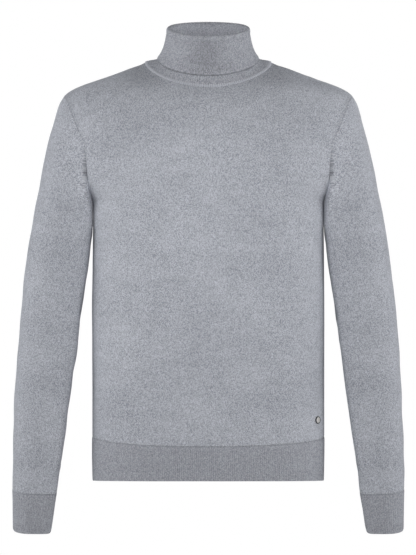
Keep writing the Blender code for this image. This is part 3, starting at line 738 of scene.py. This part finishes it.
def collar(name, materials):
    """The stand, the roll and the turned-down fold as one ribbed cloth."""
    count = 4 * COLLAR_RIBS
    turns = np.linspace(pi / 2, 5 * pi / 2, count, endpoint=False) + pi
    rings = collar_rings(turns)
    counts = [2, 2, 2, 3, 3, 3, 3, 2, 2, 2, 2, 2, 3, 3, 4, 5]
    grid, where = smooth_rows(rings, counts)
    stand, rim_in, rim_out = (sum(counts[:ring]) for ring in (UNDER_FOLD, RIM_INSIDE, RIM_OUTSIDE))
    stand += 1
    out = unit(np.cross(gradient(grid, 1, True), gradient(grid, 0, False)))
    if np.sum(out[0] * grid[0] * np.array([1, 1, 0])) < 0:
        out = -out
    total = where[-1]
    depth = where[:, None] + 0 * turns[None]
    to_edge = total - depth
    edge = clip01((3.5 * MM - to_edge) / (3.5 * MM))
    fold = clip01((depth - total * 0.56) / (total * 0.1))
    swell = 0.5 * MM * waves(grid, 0.075, 71, stretch=(1, 1, 2.5)) * fold
    grid = grid + out * swell[..., None]
    half_wall = RIB_WALL / 2 * (1 - 0.7 * edge**2)
    # the fold's face dips in a crease under the rim, and its lower edge lies close to the stand
    crease = np.exp(-((depth - where[rim_out] - ROLL_CREASE_AT) / ROLL_CREASE_WIDTH) ** 2)
    tucked = clip01(1 - to_edge / FOLD_REACH) ** 2 * FOLD_TUCK * (0.1 + 0.9 * np.sin(turns)[None] ** 2)
    grid = grid + out * (tucked + 0.35 * MM * crease)[..., None]
    face = grid + out * half_wall[..., None]
    lining = grid - out * half_wall[..., None]
    # painted shadow on the stand in the line under the fold's edge, in the crease under the roll and
    # along the fold's lowest edge
    edge_z = grid[-1, :, 2]
    under = np.array([np.interp(edge_z[i], grid[:stand, i, 2], where[:stand]) for i in range(count)])[None]
    seam = np.exp(-((depth - under) / (1.4 * MM)) ** 2)
    seam[stand:] = 0
    seam = np.maximum(seam, 0.3 * crease)
    seam = np.maximum(seam, 0.8 * clip01((0.6 * MM - to_edge) / (0.6 * MM)))
    # painted shade on the fold's middle and its lower edge, and inside, darker down from the rim;
    # painted light on the stand's front just under the fold's edge
    front = clip01(-grid[..., 1] / (20 * MM))
    turned_down = clip01((depth - where[rim_out]) / (6 * MM))
    middle = 0.16 * np.exp(-((grid[..., 0] + 5 * MM) / (30 * MM)) ** 2) * clip01(to_edge / (14 * MM))
    low_edge = 0.09 * clip01(1 - to_edge / (22 * MM))
    deep = 0.2 * clip01((52 * MM - grid[..., 2]) / (14 * MM)) * (depth < where[rim_in])
    painted_light_under_fold = np.exp(-np.maximum(under - depth, 0) / (4 * MM)) * (depth < under + 3 * MM)
    painted_light_under_fold[stand:] = 0
    shade = (-0.12 * front * painted_light_under_fold, deep + front * turned_down * (middle + low_edge))
    around = (np.linspace(0, 1, count + 1) * NECK_ROUND)[None]
    uv = np.stack(np.broadcast_arrays(around, where[:, None]), axis=-1)
    ribs = np.broadcast_to(np.linspace(0, COLLAR_RIBS, count, endpoint=False), depth.shape)
    way = out * (clip01(depth / (3 * MM)) * (1 - edge * 0.5))[..., None]
    piece = cloth_wall(name, face, lining, uv, True, materials, seam, way, shade=shade, ribs=ribs)
    return rib_relief(piece, materials)


# ---------------------------------------------------------------------------------------------------------
# What repeats: ribs and linking rows
# ---------------------------------------------------------------------------------------------------------


class Tree:
    """A node tree that is written down line by line."""

    def __init__(self, tree):
        self.tree = tree

    def add(self, kind, inputs={}, **values):
        node = self.tree.nodes.new(kind)
        for key, value in values.items():
            setattr(node, key, value)
        self.fill(node.inputs, inputs)
        return node

    def fill(self, sockets, values):
        for key, value in values.items():
            self.feed(sockets[key], value)

    def feed(self, target, value):
        if isinstance(value, bpy.types.NodeSocket):
            self.tree.links.new(value, target)
        else:
            target.default_value = value

    def math(self, operation, *values, clamp=False):
        node = self.add("ShaderNodeMath", dict(enumerate(values)), operation=operation, use_clamp=clamp)
        return node.outputs[0]

    def vector(self, operation, inputs):
        return self.add("ShaderNodeVectorMath", inputs, operation=operation).outputs["Vector"]

    def split(self, source):
        return self.add("ShaderNodeSeparateXYZ", {0: source}).outputs

    def ramp(self, source, first, last, *between):
        """A colour ramp through stops, each a place and a colour."""
        node = self.add("ShaderNodeValToRGB", {0: source})
        levels = node.color_ramp.elements
        for level, (place, colour) in zip(levels, (first, last)):
            level.position, level.color = place, (*colour, 1)
        for place, colour in between:
            levels.new(place).color = (*colour, 1)
        return node.outputs[0]

    def noise(self, where, **settings):
        return self.add("ShaderNodeTexNoise", {"Vector": where, **settings}).outputs[0]


def node_group(name, kind, inputs, output):
    """A new node group: its inputs as names, sockets and values, and its one output."""
    t = Tree(bpy.data.node_groups.new(name, kind))
    for label, socket, value in inputs:
        made = t.tree.interface.new_socket(label, in_out="INPUT", socket_type=socket)
        if value is not None:
            made.default_value = value
    t.tree.interface.new_socket(output[0], in_out="OUTPUT", socket_type=output[1])
    t.given, t.end = t.add("NodeGroupInput").outputs, t.add("NodeGroupOutput").inputs[output[0]]
    return t


def grown(piece, tree, values, materials):
    """Runs a Geometry Nodes tree on a piece and keeps the result as its plain mesh."""
    modifier = piece.modifiers.new(tree.name, "NODES")
    modifier.node_group = tree
    sockets = {item.name: item.identifier for item in tree.interface.items_tree if item.in_out == "INPUT"}
    for label, value in values.items():
        modifier[sockets[label]] = value
    graph = bpy.context.evaluated_depsgraph_get()
    dressed = piece.evaluated_get(graph)
    mesh = bpy.data.meshes.new_from_object(dressed, preserve_all_data_layers=True, depsgraph=graph)
    piece.modifiers.remove(modifier)
    old = piece.data
    piece.data = mesh
    mesh.name = piece.name
    bpy.data.meshes.remove(old)
    if len(mesh.materials) == 0:
        for material in materials:
            mesh.materials.append(material)
    return piece


GEOMETRY, COLOUR, VECTOR, FLOAT = (
    "NodeSocket" + kind for kind in ("Geometry", "Color", "Vector", "Float"))


def rib_relief_tree():
    t = node_group("rib_relief", "GeometryNodeTree", [
        ("Geometry", GEOMETRY, None),
        ("Rib Depth", FLOAT, RIB_DEPTH),
        ("Rib Roundness", FLOAT, 0.75),
    ], ("Geometry", GEOMETRY))
    count = t.add("GeometryNodeInputNamedAttribute", data_type="FLOAT")
    count.inputs["Name"].default_value = "rib_count"
    way = t.add("GeometryNodeInputNamedAttribute", data_type="FLOAT_VECTOR")
    way.inputs["Name"].default_value = "face_way"
    wave = t.math("COSINE", t.math("MULTIPLY", count.outputs["Attribute"], 2 * pi))
    rounded = t.math("POWER", t.math("ABSOLUTE", wave), t.given["Rib Roundness"])
    height = t.math("MULTIPLY", t.math("MULTIPLY", t.math("SIGN", wave), rounded), t.given["Rib Depth"])
    offset = t.vector("SCALE", {0: way.outputs["Attribute"], "Scale": height})
    place = t.add("GeometryNodeSetPosition", {"Geometry": t.given["Geometry"], "Offset": offset})
    real = t.add("GeometryNodeRealizeInstances", {"Geometry": place.outputs["Geometry"]})
    t.feed(t.end, real.outputs["Geometry"])
    return t.tree


def rib_relief(piece, materials):
    return grown(piece, RIB_RELIEF, {"Rib Depth": RIB_DEPTH}, materials)


def linking_row_tree():
    """Small loops of yarn side by side along a line of points, each lying across it."""
    t = node_group("linking_row", "GeometryNodeTree", [
        ("Geometry", GEOMETRY, None),
        ("Loop Pitch", FLOAT, 3.6 * MM),
        ("Loop Length", FLOAT, 6.2 * MM),
        ("Loop Width", FLOAT, 3.2 * MM),
        ("Loop Height", FLOAT, 1.6 * MM),
        ("Unevenness", FLOAT, 0.12),
        ("Seed", "NodeSocketInt", RNG_SEED),
        ("Yarn", "NodeSocketMaterial", None),
    ], ("Geometry", GEOMETRY))
    curve = t.add("GeometryNodeMeshToCurve", {"Mesh": t.given["Geometry"]}).outputs["Curve"]
    pitch = t.given["Loop Pitch"]
    even = t.add("GeometryNodeResampleCurve", {"Curve": curve, "Length": pitch}, mode="LENGTH")
    out = t.add("GeometryNodeInputNamedAttribute", {"Name": "seam_out"}, data_type="FLOAT_VECTOR")
    tangent = t.add("GeometryNodeInputTangent")
    to_out = t.add("FunctionNodeAlignRotationToVector", {"Vector": out.outputs["Attribute"]}, axis="Z")
    turned = {"Rotation": to_out.outputs["Rotation"], "Vector": tangent.outputs["Tangent"]}
    to_along = t.add("FunctionNodeAlignRotationToVector", turned, axis="X", pivot_axis="Z")
    loop = t.add("GeometryNodeMeshUVSphere", {"Segments": 8, "Rings": 5, "Radius": 0.5})
    uneven = t.add("FunctionNodeRandomValue", {
        2: t.math("SUBTRACT", 1.0, t.given["Unevenness"]), 3: t.math("ADD", 1.0, t.given["Unevenness"]),
        "Seed": t.given["Seed"]}, data_type="FLOAT").outputs[1]
    size = t.add("ShaderNodeCombineXYZ", {
        "X": t.given["Loop Width"],
        "Y": t.math("MULTIPLY", t.given["Loop Length"], uneven),
        "Z": t.math("MULTIPLY", t.given["Loop Height"], uneven)})
    place = t.add("GeometryNodeInstanceOnPoints", {
        "Points": even.outputs["Curve"], "Instance": loop.outputs["Mesh"],
        "Rotation": to_along.outputs["Rotation"], "Scale": size.outputs["Vector"]})
    real = t.add("GeometryNodeRealizeInstances", {"Geometry": place.outputs["Instances"]})
    soft = t.add("GeometryNodeSetShadeSmooth", {"Geometry": real.outputs["Geometry"]})
    paint = t.add("GeometryNodeSetMaterial", {
        "Geometry": soft.outputs["Geometry"], "Material": t.given["Yarn"]})
    t.feed(t.end, paint.outputs["Geometry"])
    return t.tree


def linking_row(name, points, outs, yarn):
    """A closed row of linking loops along points, which stand off the cloth along outs."""
    mesh = bpy.data.meshes.new(name)
    count = len(points)
    mesh.from_pydata(points.tolist(), [(k, (k + 1) % count) for k in range(count)], [])
    attribute(mesh, "seam_out", "FLOAT_VECTOR", outs)
    sizes = {"Loop Pitch": 3.6 * MM, "Loop Length": 6.2 * MM, "Loop Width": 3.2 * MM, "Loop Height": 1.6 * MM}
    return grown(placed(name, mesh), LINKING_ROW, {"Yarn": yarn, **sizes}, [yarn])


# ---------------------------------------------------------------------------------------------------------
# Finishes
# ---------------------------------------------------------------------------------------------------------

# What the cloth's shader groups take: the cloth map in metres, and the size of a stitch on it
CLOTH_INPUTS = [
    ("Map", VECTOR, None),
    ("Wale Pitch", FLOAT, WALE_PITCH),
    ("Course Pitch", FLOAT, COURSE_PITCH),
]


def knit_loops_group():
    """The height of plain knitting: two leaning legs a stitch, in columns."""
    t = node_group("knit_loops", "ShaderNodeTree", CLOTH_INPUTS + [("Lean", FLOAT, 0.9)], ("Height", FLOAT))
    across, along = t.split(t.given["Map"])[:2]
    wale = t.math("DIVIDE", across, t.given["Wale Pitch"])
    course = t.math("DIVIDE", along, t.given["Course Pitch"])
    aside = t.math("ABSOLUTE", t.math("SUBTRACT", t.math("FRACT", wale), 0.5))
    from_leg = t.math("MULTIPLY", t.math("SUBTRACT", aside, 0.25), 4.0)
    leg = t.math("SUBTRACT", 1.0, t.math("POWER", from_leg, 2.0), clamp=True)
    climb = t.math("FRACT", t.math("SUBTRACT", course, t.math("MULTIPLY", aside, t.given["Lean"])))
    from_middle = t.math("SUBTRACT", t.math("MULTIPLY", climb, 2.0), 1.0)
    strand = t.math("SUBTRACT", 1.0, t.math("POWER", from_middle, 2.0), clamp=True)
    t.feed(t.end, t.math("MULTIPLY", t.math("POWER", leg, 0.5), t.math("POWER", strand, 0.5)))
    return t.tree


def purl_loops_group():
    """The height of the reverse of plain knitting: flat half rings, row over row."""
    t = node_group("purl_loops", "ShaderNodeTree", CLOTH_INPUTS, ("Height", FLOAT))
    across, along = t.split(t.given["Map"])[:2]
    wale = t.math("DIVIDE", across, t.given["Wale Pitch"])
    course = t.math("DIVIDE", along, t.given["Course Pitch"])
    bow = t.math("MULTIPLY", t.math("COSINE", t.math("MULTIPLY", wale, 2 * pi)), 0.28)
    climb = t.math("FRACT", t.math("ADD", course, bow))
    t.feed(t.end, t.math("POWER", t.math("SINE", t.math("MULTIPLY", climb, pi)), 0.6))
    return t.tree


def melange_group():
    """Melange yarn: pale and dark fibres blended before spinning, so every stitch differs a little.

    Flecks run along the courses, and a slow mottling lies over them.
    """
    t = node_group("melange", "ShaderNodeTree", CLOTH_INPUTS + [
        ("Pale Yarn", COLOUR, (0.5, 0.5, 0.5, 1)),
        ("Dark Yarn", COLOUR, (0.3, 0.3, 0.3, 1)),
        ("Fleck Strength", FLOAT, 1.0),
        ("Mottle Strength", FLOAT, 1.0),
    ], ("Color", COLOUR))

    def noise(across, along, rough, offset):
        scaled = t.vector("MULTIPLY", {0: t.given["Map"], 1: (1 / across, 1 / along, 1.0)})
        moved = t.vector("ADD", {0: scaled, 1: (offset, offset * 1.7, offset * 0.3)})
        settings = {"Vector": moved, "Scale": 1.0, "Detail": 2.0, "Roughness": rough}
        node = t.add("ShaderNodeTexNoise", settings, noise_dimensions="2D")
        return t.math("SUBTRACT", node.outputs[0], 0.5)

    streak = noise(3.6 * MM, 1.1 * MM, 0.6, 3.1)
    patch = noise(34 * MM, 13.0 * MM, 0.5, 17.3)
    cloud = noise(120 * MM, 70 * MM, 0.5, 41.7)
    across, along = t.split(t.given["Map"])[:2]
    leg_pitch = t.math("MULTIPLY", t.given["Wale Pitch"], 0.5)
    cell = t.add("ShaderNodeCombineXYZ", {
        "X": t.math("FLOOR", t.math("DIVIDE", across, leg_pitch)),
        "Y": t.math("FLOOR", t.math("DIVIDE", along, t.given["Course Pitch"]))}).outputs[0]
    stitch = t.add("ShaderNodeTexWhiteNoise", {"Vector": cell}, noise_dimensions="2D").outputs[0]
    by_stitch = t.math("MULTIPLY", t.math("SUBTRACT", stitch, 0.5), 0.95)
    fleck = t.math("ADD", t.math("MULTIPLY", streak, 0.5), by_stitch)
    slow = t.math("ADD", t.math("MULTIPLY", patch, 0.22), t.math("MULTIPLY", cloud, 0.35))
    flecked = t.math("MULTIPLY", fleck, t.given["Fleck Strength"])
    share = t.math("ADD", flecked, t.math("MULTIPLY", slow, t.given["Mottle Strength"]))
    mix = t.add("ShaderNodeMix", data_type="RGBA", clamp_factor=True)
    pale_share = t.math("ADD", share, 0.5, clamp=True)
    t.fill(mix.inputs, {0: pale_share, 6: t.given["Dark Yarn"], 7: t.given["Pale Yarn"]})
    t.feed(t.end, mix.outputs[2])
    return t.tree


def new_material(name):
    """A new material, its nodes to write down and its shader's inputs."""
    made = bpy.data.materials.new(name)
    made.use_nodes = True
    return made, Tree(made.node_tree), made.node_tree.nodes["Principled BSDF"].inputs


YARN_FEEL = {"Sheen Weight": 0.22, "Sheen Roughness": 0.45, "Specular IOR Level": 0.18, "Roughness": 0.92}


def knit_material(name, pale, dark, loops, height, fleck=1.0, mottle=1.0, wale=WALE_PITCH, painted_seam_shade=0.72):
    made, t, shader = new_material(name)
    cloth_map = t.add("ShaderNodeUVMap", uv_map="cloth_map").outputs["UV"]
    pitch = {"Map": cloth_map, "Wale Pitch": wale, "Course Pitch": COURSE_PITCH}
    yarn = t.add("ShaderNodeGroup", node_tree=MELANGE)
    t.fill(yarn.inputs, {**pitch, "Pale Yarn": (*pale, 1), "Dark Yarn": (*dark, 1),
                         "Fleck Strength": fleck, "Mottle Strength": mottle})
    stitch = t.add("ShaderNodeGroup", pitch, node_tree=loops).outputs["Height"]
    # painted shade: the colour darkens in the hollows between stitches, in the linked seams' grooves
    # and in folds; a shade below nought is painted light
    hollow = t.add("ShaderNodeMapRange", {"To Min": 0.86, "To Max": 1.03, "Value": stitch}).outputs[0]
    near = t.add("ShaderNodeAttribute", attribute_name="seam").outputs["Fac"]
    seam = t.add("ShaderNodeMapRange", {
        "From Min": 0.15, "To Min": 1.0, "To Max": painted_seam_shade, "Value": near}).outputs[0]
    taken = t.add("ShaderNodeAttribute", attribute_name="shade").outputs["Fac"]
    lit = t.math("MULTIPLY", t.math("MULTIPLY", hollow, seam), t.math("SUBTRACT", 1.0, taken))
    bump = t.add("ShaderNodeBump", {"Strength": 0.55, "Distance": height, "Height": stitch})
    t.fill(shader, {
        **YARN_FEEL, "Sheen Tint": (0.86, 0.9, 1.0, 1), "Normal": bump.outputs["Normal"],
        "Base Color": t.vector("SCALE", {0: yarn.outputs["Color"], "Scale": lit})})
    return made


def yarn_material(name, colour):
    """Loops of yarn that are modelled, with their fibres' grain."""
    made, t, shader = new_material(name)
    where = t.add("ShaderNodeTexCoord").outputs["Object"]
    fibres = t.noise(where, Scale=900, Detail=3)
    bump = t.add("ShaderNodeBump", {"Strength": 0.4, "Distance": 0.2 * MM, "Height": fibres})
    dark, pale = ([c * factor for c in colour] for factor in (0.8, 1.15))
    colour = t.ramp(fibres, (0.3, dark), (0.7, pale))
    t.fill(shader, {**YARN_FEEL, "Normal": bump.outputs["Normal"], "Base Color": colour})
    return made


def brushed_metal(name, dark, pale):
    made, t, shader = new_material(name)
    where = t.add("ShaderNodeTexCoord").outputs["Object"]
    drawn = t.add("ShaderNodeMapping", {"Scale": (300, 300, 6000), "Vector": where}).outputs[0]
    grain = t.noise(drawn, Scale=1.0, Detail=4)
    rough = t.add("ShaderNodeMapRange", {"To Min": 0.25, "To Max": 0.5, "Value": grain}).outputs[0]
    colour = t.ramp(grain, (0.0, dark), (1.0, pale))
    t.fill(shader, {"Metallic": 1.0, "Roughness": rough, "Base Color": colour})
    return made


MELANGE = melange_group()
KNIT_LOOPS = knit_loops_group()
PURL_LOOPS = purl_loops_group()
RIB_RELIEF = rib_relief_tree()
LINKING_ROW = linking_row_tree()

# Yarn colours as linear red, green, blue
JERSEY = (0.591, 0.611, 0.664), (0.246, 0.258, 0.293)
# the rib's colours are darker than the jersey's, as painted shade of the grooves between its ribs
RIB = (0.49, 0.505, 0.553), (0.203, 0.21, 0.234)

jersey = knit_material("melange_jersey", *JERSEY, KNIT_LOOPS, 0.5 * MM)
jersey_reverse = knit_material("melange_jersey_reverse", *JERSEY, PURL_LOOPS, 0.4 * MM)
rib = knit_material("melange_rib", *RIB, KNIT_LOOPS, 0.35 * MM, fleck=0.9, mottle=0.25,
                    wale=RIB_WALE_PITCH, painted_seam_shade=0.5)
linking_yarn = yarn_material("linking_yarn", (0.475, 0.49, 0.54))
gunmetal = brushed_metal("brushed_gunmetal", (0.08, 0.08, 0.085), (0.16, 0.16, 0.165))
pale_steel = brushed_metal("brushed_pale_steel", (0.5, 0.49, 0.46), (0.7, 0.69, 0.66))

# ---------------------------------------------------------------------------------------------------------
# The garment
# ---------------------------------------------------------------------------------------------------------

pieces = {
    "front": panel("front_cloth", -1, [jersey, jersey_reverse]),
    "back": panel("back_cloth", 1, [jersey, jersey_reverse]),
    "hem_rib_front": hem_rib("hem_rib_front_cloth", -1, [rib]),
    "hem_rib_back": hem_rib("hem_rib_back_cloth", 1, [rib]),
    "sleeve_left": sleeve("sleeve_left_cloth", False, [jersey, jersey_reverse]),
    "sleeve_right": sleeve("sleeve_right_cloth", True, [jersey, jersey_reverse]),
    "cuff_left": cuff("cuff_left_cloth", False, [rib]),
    "cuff_right": cuff("cuff_right_cloth", True, [rib]),
    "collar": collar("collar_cloth", [rib]),
}
for node, piece in pieces.items():
    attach(piece, "root")
    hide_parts(node)

# The linked neckline: a raised row of loops on the collar's lower edge
turns = np.linspace(0, 2 * pi, 400, endpoint=False)
rings = collar_rings(turns)
up_collar = unit(rings[1] - rings[0])
round_neck = unit(np.roll(rings[0], -1, axis=0) - np.roll(rings[0], 1, axis=0))
off_neck = unit(np.cross(round_neck, up_collar))
outward = np.stack([np.cos(turns), -np.sin(turns), 0 * turns], axis=-1)
off_neck *= np.sign(np.sum(off_neck * outward, axis=-1, keepdims=True))
aside = (np.abs(np.cos(turns)) ** 4)[:, None]
row_line = neckline_point(turns) + off_neck * (1.2 - 1.4 * aside) * MM - up_collar * 0.9 * MM
neck_row = linking_row("neck_linking_row", row_line, off_neck, linking_yarn)
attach(neck_row, "root")

# The tag: a dark raised rim round a pale well
WELL = 0.4   # the square of the well's share of the tag
tag = bpy.data.objects["hem_tag"]
tag.data.materials.clear()
for metal in (gunmetal, pale_steel):
    tag.data.materials.append(metal)
corners = np.array([tag.matrix_world @ v.co for v in tag.data.vertices])
middle = (corners.min(axis=0) + corners.max(axis=0)) / 2
for face in tag.data.polygons:
    off = (tag.matrix_world @ face.center) - Vector(middle)
    across = Vector((off.x, off.y)).length / (TAG_WIDTH / 2)
    face.material_index = int(across**2 + (off.z / (TAG_HEIGHT / 2)) ** 2 < WELL)

# ---------------------------------------------------------------------------------------------------------
# Studio
# ---------------------------------------------------------------------------------------------------------

FLOOR_HALF, FLOOR_Z = 2.4, -0.86
# The surround's light straight down, level and straight up
GLOW_BELOW, GLOW_LEVEL, GLOW_ABOVE = 0.15, 1.0, 0.0


def plain_floor():
    bm = bmesh.new()
    bmesh.ops.create_grid(bm, x_segments=2, y_segments=2, size=FLOOR_HALF)
    bmesh.ops.translate(bm, vec=(0, 0, FLOOR_Z), verts=bm.verts)
    mesh = bpy.data.meshes.new("studio_floor")
    bm.to_mesh(mesh)
    bm.free()
    paper, t, shader = new_material("pale_paper")
    t.fill(shader, {"Base Color": (0.72, 0.72, 0.72, 1), "Roughness": 0.9})
    mesh.materials.append(paper)
    placed("studio_floor", mesh)


def soft_light(name, place, aim, width, height, power):
    data = bpy.data.lights.new(name, "AREA")
    data.shape, data.size, data.size_y, data.energy = "RECTANGLE", width, height, power
    light = placed(name, data)
    light.visible_camera = False
    turn = (Vector(aim) - Vector(place)).to_track_quat("-Z", "Y").to_matrix().to_4x4()
    light.matrix_world = Matrix.Translation(place) @ turn


def studio_world():
    """White all round to the eye; as light, bright at the horizon and dim overhead and below."""
    world = bpy.data.worlds.new("studio")
    bpy.context.scene.world = world
    world.use_nodes = True
    world.node_tree.nodes.clear()
    t = Tree(world.node_tree)
    height = t.split(t.add("ShaderNodeTexCoord").outputs["Generated"])["Z"]
    rise = t.add("ShaderNodeMapRange", {"From Min": -1.0, "Value": height}).outputs[0]
    below, level, above = ((glow, glow, glow) for glow in (GLOW_BELOW, GLOW_LEVEL, GLOW_ABOVE))
    colour = t.ramp(rise, (0.0, below), (1.0, above), (0.5, level))
    glow = t.add("ShaderNodeBackground", {"Color": colour, "Strength": 0.63}).outputs[0]
    seen = t.add("ShaderNodeBackground", {"Color": (1, 1, 1, 1)}).outputs[0]
    path = t.add("ShaderNodeLightPath").outputs["Is Camera Ray"]
    mix = t.add("ShaderNodeMixShader", {0: path, 1: glow, 2: seen}).outputs[0]
    t.add("ShaderNodeOutputWorld", {"Surface": mix})

plain_floor()
studio_world()
soft_light("front_softbox", (0, -0.7, -0.25), (0, 0, -0.25), 0.35, 0.35, 0.8)
soft_light("chest_softbox", (0, -1.6, -0.2), (0, 0, -0.25), 0.7, 0.5, 1.5)
soft_light("high_softbox", (0, -3.0, 1.3), (0, 0, -0.33), 1.6, 0.8, 27)
for side, hand in ((1, "left"), (-1, "right")):
    soft_light(hand + "_softbox", (side * 3.0, 0, -0.25), (side * 0.1, 0, -0.33), 0.9, 1.3, 21)
    soft_light(hand + "_front_softbox", (side * 1.13, -1.13, 0), (side * 0.1, 0, -0.25), 0.8, 0.8, 0.8)
    soft_light(hand + "_high_softbox", (side * 1.6, 0, 0.6), (side * 0.1, 0, -0.2), 0.8, 0.8, 5)
    soft_light(hand + "_back_softbox", (side * 2.6, 1.5, -0.25), (side * 0.1, 0, -0.33), 0.9, 1.3, 5)
soft_light("back_softbox", (0, 3.0, 0.4), (0, 0, -0.3), 1.8, 1.0, 30)
soft_light("neck_fill", (0, -0.01, -0.07), (0, 0.03, 0.05), 0.06, 0.05, 0.10)

POINTS, POINT = 555, 1.58 * MM   # the picture's long side, and a point of it at the garment
DISTANCE = 20.0
SENSOR = 36
lens = bpy.data.cameras.new("camera")
lens.sensor_width = SENSOR
lens.lens = SENSOR * DISTANCE / (POINTS * POINT)
lens.clip_end = 60
camera = placed("camera", lens)
camera.location = (-0.5 * MM, -DISTANCE, -0.34365)
camera.rotation_euler = (pi / 2, 0, 0)
bpy.context.scene.camera = camera
bpy.context.scene.view_settings.view_transform = "Standard"
